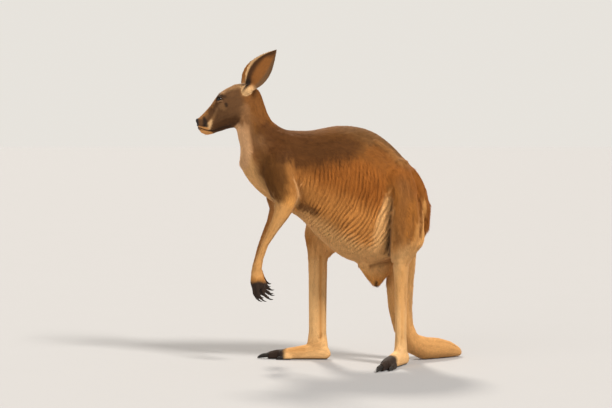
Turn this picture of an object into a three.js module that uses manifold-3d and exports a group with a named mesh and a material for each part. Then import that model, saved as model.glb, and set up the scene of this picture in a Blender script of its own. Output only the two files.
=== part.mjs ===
// A red kangaroo, a grown male at life size, standing still on both hind feet and its tail.
// Millimetres, +Z up. The floor is Z = 0 and the animal faces -Y, so its left side is +X.
// The body is drawn from the side as ribs: each rib runs from the outline in front or above to
// the outline behind or below, and carries the half width of the body there. A loft through the
// ribs gives one length of the body, and neighbours are parted by thin gaps.

import * as THREE from 'three';
import { mergeVertices } from 'three/addons/utils/BufferGeometryUtils.js';
import Module from 'manifold-3d';

const wasm = await Module();
wasm.setup();

// ---- driving dimensions ------------------------------------------------------------------

const GAP = 0.36;               // space left between neighbouring solids
const REACH = 3000;             // size of the blocks that part the body, larger than the animal
const DOME_ANGLE = 78;          // degrees that a rounded end turns through

const EYE_RADIUS = 13.5;
const EYE_AT = [39.5, -463, 1118];    // left eye centre; the right one is its mirror image

const EAR_LENGTH = 214;
const EAR_HALF_WIDTH = 53;
const EAR_CUP = 40;             // how deep the ear is hollowed at its widest
const EAR_THICKNESS = 6.5;
const EAR_ROOT = 15;            // extra half width of the ear where it leaves its root
const EAR_SIDES = 14;
const EAR_ROWS = 8;
const EAR_BASE = [34, -346, 1158];
const EAR_LEAN = 36;            // degrees that the ear leans back from upright
const EAR_SPLAY = 12;           // degrees that the ear leans outwards
const EAR_TURN = 74;            // degrees that the cup faces outwards from straight ahead
const FAR_EAR_FORWARD = 19;     // the right ear stands this much further forward

const ARM_OUT = 98;             // shoulder to mid-plane
const RIGHT_ARM_SWING = 4.4;    // degrees that the right arm hangs further forward
const RIGHT_ARM_FORWARD = -42;  // the right shoulder stands this much further forward

const LEFT_HEEL = [46, 322];    // back of the heel on the floor, X and Y
const LEFT_LEG_TURN = 64;       // degrees that the left leg turns outwards
const RIGHT_HEEL = [-92, 2];
const RIGHT_LEG_TURN = -3;
const PELVIS_HALF = 24;         // half width of the trunk that runs on between the two thighs

// ---- solids from three.js geometry -------------------------------------------------------

function signedVolume(geometry) {
  const { position } = geometry.attributes;
  const { index } = geometry;
  const corner = [new THREE.Vector3(), new THREE.Vector3(), new THREE.Vector3()];
  let volume = 0;
  for (let i = 0; i < index.count; i += 3) {
    corner.forEach((c, k) => c.fromBufferAttribute(position, index.getX(i + k)));
    volume += corner[0].dot(corner[1].cross(corner[2])) / 6;
  }
  return volume;
}

function toSolid(geometry) {
  const bare = geometry.clone();
  bare.deleteAttribute('normal');
  bare.deleteAttribute('uv');
  const merged = mergeVertices(bare);
  const triVerts = new Uint32Array(merged.index.array);
  if (signedVolume(merged) < 0) triVerts.reverse();
  const vertProperties = new Float32Array(merged.attributes.position.array);
  return new wasm.Manifold(new wasm.Mesh({ numProp: 3, vertProperties, triVerts }));
}

// The largest body of a solid: a cut can leave slivers beside it.
function mainBody(solid) {
  return solid.decompose().reduce((best, body) => (body.volume() > best.volume() ? body : best));
}

function toGeometry(solid) {
  const { vertProperties, triVerts } = solid.getMesh();
  const geometry = new THREE.BufferGeometry();
  geometry.setAttribute('position', new THREE.BufferAttribute(vertProperties, 3));
  geometry.setIndex(new THREE.BufferAttribute(triVerts, 1));
  geometry.computeVertexNormals();
  return geometry;
}

// ---- ribs and lofts ----------------------------------------------------------------------

// fore and aft are [y, z] points of the side outline, half is the half width, out is how far
// the rib stands off the mid-plane, and egg makes the aft half wider than the fore half.
function rib(fore, aft, half, out = 0, egg = 0) {
  return { fore, aft, half, out, egg };
}

const curve = (ribs, point) => new THREE.CatmullRomCurve3(ribs.map(point));

// Where each row of facets lies: its place along the ribs, how far past the end it is pushed,
// and how much it shrinks there.
function loftRows(spans, steps, domes, domeRows) {
  const rows = [];
  const dome = (end, k) => {
    const angle = THREE.MathUtils.degToRad(DOME_ANGLE * k / domeRows);
    const push = (end ? 1 : -1) * domes[end] * Math.sin(angle);
    rows.push({ t: end, push, scale: Math.cos(angle) });
  };
  if (domes[0]) for (let k = domeRows; k > 0; k -= 1) dome(0, k);
  const count = spans * steps;
  for (let k = 0; k <= count; k += 1) rows.push({ t: k / count, push: 0, scale: 1 });
  if (domes[1]) for (let k = 1; k <= domeRows; k += 1) dome(1, k);
  return rows;
}

function loft(ribs, options = {}) {
  const { sides = 14, steps = 1, domes = [0, 0], domeRows = 2, square = 2, grow = 0 } = options;
  const fore = curve(ribs, (r) => new THREE.Vector3(r.out, ...r.fore));
  const aft = curve(ribs, (r) => new THREE.Vector3(r.out, ...r.aft));
  const girth = curve(ribs, (r) => new THREE.Vector3(r.half, r.egg, 0));
  const middle = (t) => fore.getPoint(t).add(aft.getPoint(t)).multiplyScalar(0.5);
  const rows = loftRows(ribs.length - 1, steps, domes, domeRows).map(({ t, push, scale }) => {
    const depth = fore.getPoint(t).sub(aft.getPoint(t)).multiplyScalar(0.5);
    const along = middle(Math.min(1, t + 0.01)).sub(middle(Math.max(0, t - 0.01))).normalize();
    const side = new THREE.Vector3().crossVectors(along, depth).normalize();
    const { x: half, y: egg } = girth.getPoint(t);
    return {
      centre: middle(t).addScaledVector(along, push + Math.sign(push) * grow),
      depth: depth.setLength((depth.length() + grow) * scale),
      side: side.multiplyScalar((half + grow) * scale),
      egg,
    };
  });
  const tube = new THREE.CylinderGeometry(1, 1, 1, sides, rows.length - 1);
  const { position } = tube.attributes;
  for (let i = 0; i < position.count; i += 1) {
    const row = rows[Math.round((0.5 - position.getY(i)) * (rows.length - 1))];
    const across = position.getX(i);
    const up = position.getZ(i);
    const girthAt = Math.hypot(across, up) < 0.5
      ? 0
      : (Math.abs(across) ** square + Math.abs(up) ** square) ** (-1 / square);
    const point = row.centre.clone()
      .addScaledVector(row.side, across * girthAt * (1 - row.egg * up))
      .addScaledVector(row.depth, up * girthAt);
    position.setXYZ(i, point.x, point.y, point.z);
  }
  return toSolid(tube);
}

function ball(at, radii, { tilt = 0, grow = 0, detail = 10 } = {}) {
  const sphere = new THREE.SphereGeometry(1, detail, Math.round(detail * 0.7));
  sphere.scale(...radii.map((r) => r + grow));
  sphere.rotateX(THREE.MathUtils.degToRad(tilt));
  sphere.translate(...at);
  return toSolid(sphere);
}

// ---- cuts --------------------------------------------------------------------------------

// The block on the side of a plane that its normal points to, starting half a gap past it.
// The plane runs across the body through a [y, z] point, along the [y, z] normal.
function beyond([y, z], [normalY, normalZ], clearance = GAP / 2) {
  const normal = new THREE.Vector3(0, normalY, normalZ).normalize();
  const block = new THREE.BoxGeometry(REACH, REACH, REACH);
  block.translate(0, 0, REACH / 2 + clearance);
  const up = new THREE.Vector3(0, 0, 1);
  block.applyQuaternion(new THREE.Quaternion().setFromUnitVectors(up, normal));
  block.translate(0, y, z);
  return toSolid(block);
}

function part(solid, point, normal) {
  const back = normal.map((n) => -n);
  return [solid.intersect(beyond(point, normal)), solid.intersect(beyond(point, back))];
}

// The block on one side of the animal, from a little way off the mid-plane outwards.
function beside(side, off) {
  const block = new THREE.BoxGeometry(REACH, REACH, REACH);
  block.translate(side * (REACH / 2 + off), 0, 0);
  return toSolid(block);
}

const aboveFloor = (solid) => solid.intersect(beyond([0, 0], [0, 1], 0));
const mirrored = ([x, y, z]) => [-x, y, z];
const join = (solids) => solids.reduce((sum, solid) => sum.add(solid));
const cut = (solid, ...others) => others.reduce((rest, other) => rest.subtract(other), solid);

// Turns a solid about a pivot by angles in degrees about X, Y and Z, then shifts it.
function placed(solid, { angles = [0, 0, 0], pivot = [0, 0, 0], to = [0, 0, 0] }) {
  const turn = new THREE.Euler(...angles.map((angle) => THREE.MathUtils.degToRad(angle)));
  const matrix = new THREE.Matrix4().makeTranslation(...to)
    .multiply(new THREE.Matrix4().makeTranslation(...pivot))
    .multiply(new THREE.Matrix4().makeRotationFromEuler(turn))
    .multiply(new THREE.Matrix4().makeTranslation(...pivot.map((p) => -p)));
  return solid.transform(matrix.elements);
}

// ---- head --------------------------------------------------------------------------------

const HEAD_RIBS = [
  rib([-561, 1036], [-542, 974], 23, 0, 0.02),
  rib([-549, 1049], [-520, 966], 29, 0, 0.06),
  rib([-528, 1070], [-494, 973], 33, 0, 0.1),
  rib([-505, 1096], [-464, 984], 39, 0, 0.12),
  rib([-490, 1118], [-434, 994], 48, 0, 0.1),
  rib([-470, 1146], [-405, 1000], 58, 0, 0.08),
  rib([-440, 1167], [-375, 1008], 62, 0, 0.08),
  rib([-405, 1185], [-348, 1022], 58, 0, 0.08),
  rib([-365, 1190], [-325, 1045], 51, 0, 0.06),
  rib([-325, 1182], [-308, 1075], 42, 0, 0),
];

const NECK_RIBS = [
  rib([-318, 1166], [-402, 1040], 46),
  rib([-293, 1162], [-400, 1000], 52),
  rib([-277, 1117], [-393, 958], 55),
  rib([-262, 1070], [-381, 915], 59),
  rib([-243, 1032], [-383, 878], 67),
  rib([-205, 1006], [-391, 844], 75),
  rib([-160, 985], [-350, 806], 80),
];

const HEAD_NECK_CUT = [[-398, 1000], [-0.858, 0.514]];
const NECK_TRUNK_CUT = [[-222, 1012], [-0.638, 0.77]];

function eye(side, grow = 0) {
  const at = side > 0 ? EYE_AT : mirrored(EYE_AT);
  return ball(at, [EYE_RADIUS, EYE_RADIUS, EYE_RADIUS], { grow });
}

function skull(grow = 0) {
  return loft(HEAD_RIBS, { sides: 16, domes: [11, 24], domeRows: 1, square: 2.25, grow });
}

function neckLoft(grow = 0) {
  return loft(NECK_RIBS, { sides: 14, grow });
}

function headAndNeck() {
  const brow = [1, -1].map((s) => ball([s * 31, -466, 1122], [17, 34, 13], { tilt: 54, detail: 8 }));
  const nose = ball([0, -556, 1027], [19, 12, 16], { tilt: 30, detail: 8 });
  return join([skull(), ...brow, nose, neckLoft()]);
}

// An ear is a leaf-shaped cup standing on a short furry root. It opens towards -Y, and its
// section is a crescent that flattens at both ends.
function ear() {
  const cup = new THREE.CylinderGeometry(1, 1, 1, EAR_SIDES, EAR_ROWS);
  const { position } = cup.attributes;
  for (let i = 0; i < position.count; i += 1) {
    const along = 0.5 - position.getY(i);
    const leaf = Math.sin(Math.PI * along ** 0.92);
    const half = EAR_HALF_WIDTH * leaf + EAR_ROOT * (1 - along) ** 5 + 1.5;
    const across = position.getX(i);
    const wall = EAR_THICKNESS * position.getZ(i) * 0.5;
    const bow = Math.sqrt(1 - Math.min(1, across * across));
    const middle = Math.hypot(across, position.getZ(i)) < 0.5 ? 0 : bow;
    position.setXYZ(i, half * across, EAR_CUP * leaf ** 0.8 * (middle - 1) + wall, along * EAR_LENGTH);
  }
  const root = ball([0, -5, -4], [23, 21, 36], { detail: 8 });
  return toSolid(cup).add(root);
}

function ears(head) {
  const left = placed(ear(), { angles: [-EAR_LEAN, EAR_SPLAY, EAR_TURN], to: EAR_BASE });
  const right = placed(left.mirror([1, 0, 0]), { to: [0, -FAR_EAR_FORWARD, -4] });
  return [left, right].map((solid) => solid.subtract(head));
}

// ---- trunk, groin and tail -----------------------------------------------------------------

const TRUNK_RIBS = [
  rib([-300, 940], [-386, 842], 62),
  rib([-245, 985], [-348, 775], 84, 0, 0.02),
  rib([-168, 993], [-291, 716], 96, 0, 0.04),
  rib([-85, 991], [-212, 664], 112, 0, 0.08),
  rib([14, 1011], [-128, 614], 136, 0, 0.12),
  rib([100, 1011], [-66, 550], 152, 0, 0.14),
  rib([180, 990], [5, 482], 160, 0, 0.14),
  rib([250, 944], [75, 436], 157, 0, 0.12),
  rib([312, 881], [150, 421], 143, 0, 0.06),
  rib([372, 814], [215, 424], 124),
  rib([412, 740], [270, 440], 102),
  rib([424, 660], [312, 470], 76),
];

const TAIL_RIBS = [
  rib([396, 780], [280, 690], 62),
  rib([432, 672], [276, 605], 68, -2),
  rib([428, 575], [262, 520], 66, -8),
  rib([374, 468], [246, 430], 60, -22),
  rib([364, 335], [240, 335], 54, -45),
  rib([359, 225], [252, 219], 49, -60),
  rib([363, 158], [276, 126], 47, -68),
  rib([382, 112], [328, 34], 46, -78),
  rib([420, 98], [398, -3], 46, -98),
  rib([474, 91], [466, -3], 43, -130),
  rib([526, 73], [528, -3], 33, -164),
  rib([566, 46], [572, -3], 20, -192),
];

const GROIN_RIBS = [
  rib([100, 450], [285, 450], 46),
  rib([124, 404], [268, 398], 38),
  rib([150, 366], [246, 364], 28),
  rib([176, 334], [220, 333], 17),
];

const TAIL_ROOT_CUT = [[345, 655], [0.5, -0.86]];
const TAIL_HANG_CUT = [[305, 330], [0, -1]];
const TAIL_BEND_CUT = [[420, 50], [1, 0]];

function trunkLoft(grow = 0) {
  return loft(TRUNK_RIBS, { sides: 20, steps: 2, domes: [0, 26], domeRows: 1, square: 2.15, grow });
}

function tailLoft(grow = 0) {
  return aboveFloor(loft(TAIL_RIBS, { sides: 12, domes: [0, 14], domeRows: 1, grow }));
}

function tailPieces() {
  const [outside, root] = part(tailLoft(), ...TAIL_ROOT_CUT);
  const [below, base] = part(outside, ...TAIL_HANG_CUT);
  const [tip, middle] = part(below, ...TAIL_BEND_CUT);
  return { root, base, middle, tip };
}

function groin(grow = 0) {
  return loft(GROIN_RIBS, { sides: 12, domes: [0, 12], grow });
}

// ---- arms ----------------------------------------------------------------------------------

const ARM_RIBS = [
  rib([-278, 885], [-172, 912], 26, ARM_OUT - 26),
  rib([-290, 815], [-142, 850], 36, ARM_OUT - 12),
  rib([-270, 755], [-128, 785], 38, ARM_OUT - 2),
  rib([-244, 700], [-124, 728], 34, ARM_OUT),
  rib([-232, 655], [-136, 680], 31, ARM_OUT),
  rib([-246, 605], [-172, 622], 28, ARM_OUT),
  rib([-272, 550], [-216, 566], 24, ARM_OUT),
  rib([-296, 495], [-256, 508], 20, ARM_OUT),
  rib([-313, 446], [-277, 450], 17, ARM_OUT),
  rib([-327, 408], [-284, 408], 18, ARM_OUT),
  rib([-333, 374], [-277, 374], 20, ARM_OUT),
  rib([-334, 346], [-269, 349], 21, ARM_OUT),
  rib([-327, 322], [-273, 328], 16, ARM_OUT),
];

const ELBOW_CUT = [[-185, 690], [-0.1, -1]];
const WRIST_CUT = [[-305, 385], [0.05, -1]];
const SHOULDER = [0, -200, 850];

// The digits of the hand from the foremost to the thumb: where each one leaves the palm, how far
// it leans back in degrees, the lengths of digit and claw, and how far out it lies. Each digit
// curls backwards at its end and carries a claw that curls further.
const DIGITS = [
  { y: -319, z: 330, lean: 2, length: 55, claw: 24, out: 6 },
  { y: -305, z: 328, lean: 7, length: 55, claw: 24, out: 14 },
  { y: -289, z: 330, lean: 18, length: 59, claw: 24, out: 2 },
  { y: -282, z: 337, lean: 25, length: 44, claw: 20, out: -8 },
  { y: -277, z: 352, lean: 24, length: 26, claw: 14, out: -13 },
];

function digitPoint({ y, z, lean, length }, along) {
  const bend = THREE.MathUtils.degToRad(lean) + 0.55 * Math.max(0, along - 0.45);
  return [y + Math.sin(bend) * length * along, z - Math.cos(bend) * length * along, bend];
}

function ribAcross([y, z, bend], depth, half, out) {
  const [dy, dz] = [Math.cos(bend) * depth, Math.sin(bend) * depth];
  return rib([y - dy, z - dz], [y + dy, z + dz], half, out);
}

function fingerRibs(digit) {
  return [[-0.35, 9], [0.5, 8], [0.95, 6.8]].map(([along, r]) => (
    ribAcross(digitPoint(digit, along), r, r * 0.92, ARM_OUT + digit.out)));
}

function clawRibs(digit) {
  const [y, z, bend] = digitPoint(digit, 0.9);
  return [[0, 4.9], [0.5, 3.8], [1, 1]].map(([along, r]) => {
    const turn = bend + 0.12 + 0.6 * along;
    const reach = digit.claw * along;
    const at = [y + 1 + Math.sin(turn) * reach, z - Math.cos(turn) * reach, turn + 0.3];
    return ribAcross(at, r, r * 0.7, ARM_OUT + digit.out);
  });
}

function armPieces(grow = 0) {
  const arm = loft(ARM_RIBS, { sides: 10, domes: [18, 7], domeRows: 1, grow });
  const fingers = DIGITS.map((digit) => (
    loft(fingerRibs(digit), { sides: 6, domes: [0, 4], domeRows: 1, grow })));
  const claws = DIGITS.map((digit) => loft(clawRibs(digit), { sides: 5, grow }));
  return { arm, fingers: join(fingers), claws };
}

function wholeArm(side, grow = 0) {
  const { arm, fingers, claws } = armPieces(grow);
  const place = (solid) => (side > 0 ? solid : placed(solid.mirror([1, 0, 0]), {
    angles: [RIGHT_ARM_SWING, 0, 0], pivot: SHOULDER, to: [0, RIGHT_ARM_FORWARD, 0] }));
  return { arm: place(arm), fingers: place(fingers), claws: claws.map(place) };
}

// ---- legs ----------------------------------------------------------------------------------

// A leg is drawn with the back of its heel at the origin and its toes towards -Y.
const FOOT_RIBS = [
  rib([3, 34], [3, -4], 17),
  rib([-8, 56], [-6, -4], 22),
  rib([-50, 74], [-45, -4], 25),
  rib([-104, 64], [-95, -4], 25),
  rib([-150, 54], [-145, -4], 26),
  rib([-190, 47], [-188, -4], 27),
  rib([-216, 40], [-216, -4], 24),
];

const SHANK_RIBS = [
  rib([-98, 36], [-10, 24], 21),
  rib([-98, 78], [-6, 66], 23),
  rib([-92, 130], [-12, 122], 21),
  rib([-93, 250], [-11, 250], 23),
  rib([-93, 350], [-9, 350], 27),
  rib([-95, 430], [-8, 430], 33),
  rib([-104, 490], [4, 480], 40),
  rib([-112, 540], [12, 530], 44),
];

const LEFT_THIGH_RIBS = [
  rib([-94, 430], [-8, 430], 32, 0),
  rib([-108, 470], [16, 462], 44, 8),
  rib([-118, 520], [64, 508], 66, 18),
  rib([-128, 590], [96, 580], 71, 14),
  rib([-132, 670], [104, 660], 69, 3),
  rib([-130, 745], [96, 740], 66, -9),
  rib([-112, 812], [70, 815], 58, -22),
  rib([-72, 862], [30, 862], 34, -30),
];

const RIGHT_THIGH_RIBS = [
  rib([-102, 480], [2, 440], 36, 2),
  rib([-114, 545], [26, 462], 48, 8),
  rib([-100, 614], [76, 470], 62, 18),
  rib([-38, 698], [140, 486], 72, 30),
  rib([50, 768], [215, 516], 78, 36),
  rib([146, 824], [300, 560], 80, 30),
  rib([238, 856], [364, 640], 74, 16),
  rib([300, 850], [388, 720], 54, 0),
];

const KNEE_CUT = [[-50, 446], [-0.06, 1]];
const ANKLE_CUT = [[-50, 82], [-0.1, 1]];

// name, half width, height, where it starts and ends, and how far off the middle it does both
const TOES = [
  { name: '4', half: 15, height: 44, from: -186, to: -268, outs: [2, 3], claw: 46 },
  { name: '5', half: 9.5, height: 29, from: -166, to: -226, outs: [24, 31], claw: 26 },
  { name: '2', half: 8, height: 25, from: -166, to: -212, outs: [-21, -28], claw: 17 },
];

// the second and third toes share one skin and show only as two claws, this far to each side
const FUSED_CLAW_OFF = 4.6;

function toeRibs({ half, height, from, to, outs }) {
  const at = (t) => [from + (to - from) * t, outs[0] + (outs[1] - outs[0]) * t];
  return [0, 0.55, 1].map((t) => {
    const [y, out] = at(t);
    const arch = height * (1 - 0.28 * t + 0.12 * Math.sin(Math.PI * t));
    return rib([y, arch], [y + 3, -4], half * (1.08 - 0.2 * t), out);
  });
}

function toeClawRibs({ half, height, to, outs, claw }) {
  const out = outs[1];
  const bend = (outs[1] - outs[0]) * 0.25;
  const top = height * 0.62;
  return [
    rib([to + 12, top * 1.14], [to + 12, top * 0.14], half * 0.76, out),
    rib([to - claw * 0.3, top * 1.06], [to - claw * 0.24, top * 0.1], half * 0.7, out + bend * 0.4),
    rib([to - claw * 0.7, top * 0.8], [to - claw * 0.64, top * 0.07], half * 0.5, out + bend * 0.8),
    rib([to - claw, top * 0.34], [to - claw * 0.98, top * 0.05], half * 0.2, out + bend),
  ];
}

function footClaws(grow) {
  const [big, outer, fused] = TOES;
  const split = [-1, 1].map((s) => ({
    ...fused,
    name: s > 0 ? '3' : '2',
    half: fused.half * 0.55,
    outs: fused.outs.map((out) => out + s * FUSED_CLAW_OFF),
  }));
  return [big, outer, ...split].map((toe) => ({
    name: toe.name,
    solid: loft(toeClawRibs(toe), { sides: 5, grow }),
  }));
}

function legPieces(thighRibs, grow = 0) {
  const thigh = loft(thighRibs, { sides: 14, domes: [0, 12], domeRows: 1, grow });
  const shank = loft(SHANK_RIBS, { sides: 12, square: 2.1, grow });
  const sole = loft(FOOT_RIBS, { sides: 12, domes: [6, 8], domeRows: 1, square: 2.5, grow });
  const toeShape = { sides: 6, domes: [0, 9], domeRows: 1, square: 2.3, grow };
  const toes = TOES.map((toe) => loft(toeRibs(toe), toeShape));
  return { leg: join([thigh, shank, sole, ...toes]), claws: footClaws(grow) };
}

function wholeLeg(side, grow = 0) {
  const { leg, claws } = legPieces(side > 0 ? LEFT_THIGH_RIBS : RIGHT_THIGH_RIBS, grow);
  const [heel, turn] = side > 0 ? [LEFT_HEEL, LEFT_LEG_TURN] : [RIGHT_HEEL, RIGHT_LEG_TURN];
  const place = (solid) => placed(side > 0 ? solid : solid.mirror([1, 0, 0]), {
    angles: [0, 0, turn], to: [...heel, 0] });
  const placeThigh = (solid) => place(solid).intersect(beside(side, PELVIS_HALF - grow));
  return { leg, claws, place, placeThigh };
}

// ---- the animal ----------------------------------------------------------------------------

const FINISH = {
  coat: { color: 0xa8683a, roughness: 0.9 },
  pale_coat: { color: 0xc9a072, roughness: 0.9 },
  dark_coat: { color: 0x3a2b24, roughness: 0.85 },
  eye: { color: 0x1a0f0a, roughness: 0.08 },
  claw: { color: 0x1c1714, roughness: 0.45 },
};

const model = new THREE.Group();

function add(name, solid, finish) {
  const material = new THREE.MeshStandardMaterial({ ...FINISH[finish], metalness: 0 });
  const mesh = new THREE.Mesh(toGeometry(mainBody(solid)), material);
  mesh.name = name;
  model.add(mesh);
}

const SIDES = [['left', 1], ['right', -1]];

const tail = tailPieces();
const tailRoom = tailLoft(GAP);
const trunkRoom = join([trunkLoft(GAP), neckLoft(GAP)]);
const thighRoom = [];

SIDES.forEach(([sideName, side]) => {
  const { leg, claws, place, placeThigh } = wholeLeg(side);
  const roomy = wholeLeg(side, GAP);
  const [upper, foot] = part(aboveFloor(leg), ...ANKLE_CUT);
  const [thigh, shank] = part(upper, ...KNEE_CUT);
  thighRoom.push(roomy.placeThigh(roomy.leg));
  add(`thigh_${sideName}`, cut(placeThigh(thigh), tailRoom, trunkRoom), 'coat');
  add(`shank_${sideName}`, place(shank), 'pale_coat');
  add(`foot_${sideName}`, cut(place(foot), ...roomy.claws.map(({ solid }) => place(solid))), 'dark_coat');
  claws.forEach(({ name, solid }) => add(`toe_claw_${sideName}_${name}`, place(solid), 'claw'));
});

SIDES.forEach(([sideName, side]) => {
  const { arm, fingers, claws } = wholeArm(side);
  const roomy = wholeArm(side, GAP);
  const [lower, upperArm] = part(arm, ...ELBOW_CUT);
  const [palm, forearm] = part(lower, ...WRIST_CUT);
  add(`upper_arm_${sideName}`, cut(upperArm, trunkRoom), 'coat');
  add(`forearm_${sideName}`, cut(forearm, trunkRoom), 'pale_coat');
  add(`hand_${sideName}`, cut(palm.add(fingers), ...roomy.claws), 'dark_coat');
  claws.forEach((claw, k) => add(`finger_claw_${sideName}_${k + 1}`, claw, 'claw'));
});

const torso = join([headAndNeck(), trunkLoft(), tail.root]);
const [head, body] = part(torso, ...HEAD_NECK_CUT);
const [neck, trunk] = part(body, ...NECK_TRUNK_CUT);
const outerTailRoom = tailRoom.intersect(beyond(...TAIL_ROOT_CUT, -GAP / 2));

add('head', cut(head, eye(1, GAP), eye(-1, GAP)), 'coat');
add('neck', neck, 'coat');
add('trunk', cut(trunk, outerTailRoom), 'coat');
add('groin', cut(groin(), trunkRoom, tailRoom, ...thighRoom), 'pale_coat');
add('tail_base', tail.base, 'coat');
add('tail_middle', tail.middle, 'pale_coat');
add('tail_tip', tail.tip, 'pale_coat');

const [earLeft, earRight] = ears(skull(GAP));
add('ear_left', earLeft, 'coat');
add('ear_right', earRight, 'coat');
add('eye_left', eye(1), 'eye');
add('eye_right', eye(-1), 'eye');

// the row's origin is on the floor, in the middle of the animal's box
const middle = new THREE.Box3().setFromObject(model).getCenter(new THREE.Vector3());
model.children.forEach(({ geometry }) => geometry.translate(-middle.x, -middle.y, 0));

export default model;
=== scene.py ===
"""A red kangaroo at life size: one skin, a coat of solid tufts, eyes, claws and whiskers.

Lengths in the tables are millimetres in the animal's own frame: X = 0 is its mid-plane, +X is
its left side, it faces -Y, and Z = 0 is the floor. Objects are in metres in the row's frame.
"""

import math
from collections import namedtuple

import bmesh
import bpy
import numpy as np
from bpy.props import FloatProperty, FloatVectorProperty, IntProperty, PointerProperty
from mathutils import Matrix, Vector
from mathutils.bvhtree import BVHTree


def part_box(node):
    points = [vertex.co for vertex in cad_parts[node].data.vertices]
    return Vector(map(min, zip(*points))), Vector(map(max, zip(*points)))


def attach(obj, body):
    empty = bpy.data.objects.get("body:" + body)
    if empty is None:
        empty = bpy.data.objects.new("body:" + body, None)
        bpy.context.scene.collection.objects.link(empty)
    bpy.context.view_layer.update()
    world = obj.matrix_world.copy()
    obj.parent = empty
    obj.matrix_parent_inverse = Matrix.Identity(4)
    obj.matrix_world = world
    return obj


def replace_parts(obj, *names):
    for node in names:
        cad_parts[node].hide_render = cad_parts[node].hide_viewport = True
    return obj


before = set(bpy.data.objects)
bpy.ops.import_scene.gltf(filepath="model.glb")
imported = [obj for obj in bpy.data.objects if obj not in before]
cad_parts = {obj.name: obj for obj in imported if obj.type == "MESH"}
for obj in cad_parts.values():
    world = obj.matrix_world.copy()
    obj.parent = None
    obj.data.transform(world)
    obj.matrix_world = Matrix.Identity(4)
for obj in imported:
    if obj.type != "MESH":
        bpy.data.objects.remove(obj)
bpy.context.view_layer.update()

bl_info = {
    "name": "Red Kangaroo",
    "version": (1, 0, 0),
    "blender": (4, 5, 0),
    "location": "View3D > Sidebar > Kangaroo",
    "description": "Builds the skin, coat, eyes and claws of a standing red kangaroo",
    "category": "Object",
}

MM = 0.001
WELD = 0.00002
SIGN = {"left": 1, "right": -1}


def centre_of(node):
    low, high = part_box(node)
    return (low + high) / 2


# The eyes mirror each other, so they give the mid-plane.
EYE_CENTRE = Vector((0, -463, 1118))
EYE_RADIUS = 13.5
HOME = (centre_of("eye_left") + centre_of("eye_right")) / 2 - EYE_CENTRE * MM


def place(points):
    """Millimetres in the animal's frame to metres in the row's frame."""
    return np.asarray(points, float) * MM + np.array(HOME)


def unplace(points):
    return (np.asarray(points, float) - np.array(HOME)) / MM


# ---- the parts of the body ----

FOOT_HEEL = {"left": (46, 322), "right": (-92, 2)}
FOOT_TURN = {"left": 64.0, "right": -3.0}
TOES_BLACK_FROM = {"left": 138.0, "right": 178.0}


def foot_way(side):
    turn = math.radians(FOOT_TURN[side])
    return (math.sin(turn), -math.cos(turn), 0.0)


EAR_BASE = np.array((34.0, -346.0, 1158.0))
EAR_ANGLES = (-36.0, 12.0, 74.0)
EAR_SHIFT = np.array((0.0, -19.0, -4.0))
EAR_LENGTH = 214.0
EAR_TURN = np.array(
    Matrix.Rotation(math.radians(EAR_ANGLES[0]), 3, "X")
    @ Matrix.Rotation(math.radians(EAR_ANGLES[1]), 3, "Y")
    @ Matrix.Rotation(math.radians(EAR_ANGLES[2]), 3, "Z")
)


def ear_way(side):
    way = EAR_TURN @ np.array((0.0, 0.0, 1.0))
    return (way[0] * SIGN[side], way[1], way[2])


# rounds of smoothing, depth of the coat, tuft length, tuft width, lift in degrees, tufts per
# square centimetre, colour, and the way the hair lies
Part = namedtuple("Part", "rounds depth length width lift density colour lie")
PARTS = {
    "head": (16, 1.3, 7.0, 1.0, 8, 34.0, "face", (0, 0.89, 0.46)),
    "ear_left": (5, 0.5, 6.0, 0.9, 8, 16.0, "ear_back", ear_way("left")),
    "ear_right": (5, 0.5, 6.0, 0.9, 8, 14.0, "ear_back", ear_way("right")),
    "neck": (150, 3.0, 11.5, 1.25, 7, 22.0, "neck", (0, 0.38, -0.92)),
    "trunk": (190, 3.6, 14.0, 1.4, 8, 14.0, "flank", (0, 0.70, -0.71)),
    "groin": (40, 2.0, 13.0, 1.5, 12, 11.0, "groin", (0, 0.3, -0.95)),
    "tail_base": (90, 3.6, 18.0, 1.7, 13, 11.0, "rump", (0, 0.02, -1)),
    "tail_middle": (60, 2.6, 13.0, 1.5, 9, 11.0, "tail", (-0.12, 0.3, -0.95)),
    "tail_tip": (50, 2.2, 13.0, 1.5, 8, 11.0, "tail", (-0.5, 0.86, -0.1)),
    "upper_arm_left": (70, 2.6, 14.0, 1.5, 9, 12.0, "shoulder", (0, 0.35, -0.93)),
    "upper_arm_right": (70, 2.6, 14.0, 1.5, 9, 11.0, "shoulder", (0, 0.35, -0.93)),
    "forearm_left": (26, 1.4, 9.0, 1.1, 7, 18.0, "limb", (0, -0.42, -0.9)),
    "forearm_right": (26, 1.4, 9.0, 1.1, 7, 15.0, "limb", (0, -0.42, -0.9)),
    # the hands start from the brown of the wrist fur, which paint_ends then blackens
    "hand_left": (4, 0.4, 4.5, 0.8, 6, 16.0, "limb_shade", (0, -0.1, -1)),
    "hand_right": (4, 0.4, 4.5, 0.8, 6, 14.0, "limb_shade", (0, -0.1, -1)),
    "thigh_left": (120, 3.2, 13.0, 1.4, 8, 16.0, "thigh", (0, 0.25, -0.96)),
    "thigh_right": (120, 3.2, 13.5, 1.45, 8, 12.0, "thigh", (0, 0.1, -0.98)),
    "shank_left": (50, 1.3, 7.5, 1.0, 5, 17.0, "limb", (0, 0, -1)),
    "shank_right": (50, 1.3, 7.5, 1.0, 5, 17.0, "limb", (0, 0, -1)),
    "foot_left": (30, 0.7, 6.5, 1.0, 7, 16.0, "limb", foot_way("left")),
    "foot_right": (30, 0.7, 6.5, 1.0, 7, 16.0, "limb", foot_way("right")),
}
PARTS = {name: Part(*row) for name, row in PARTS.items()}
PART_NAMES = list(PARTS)

# ---- colours, markings, and painted light and shade ----

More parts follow.
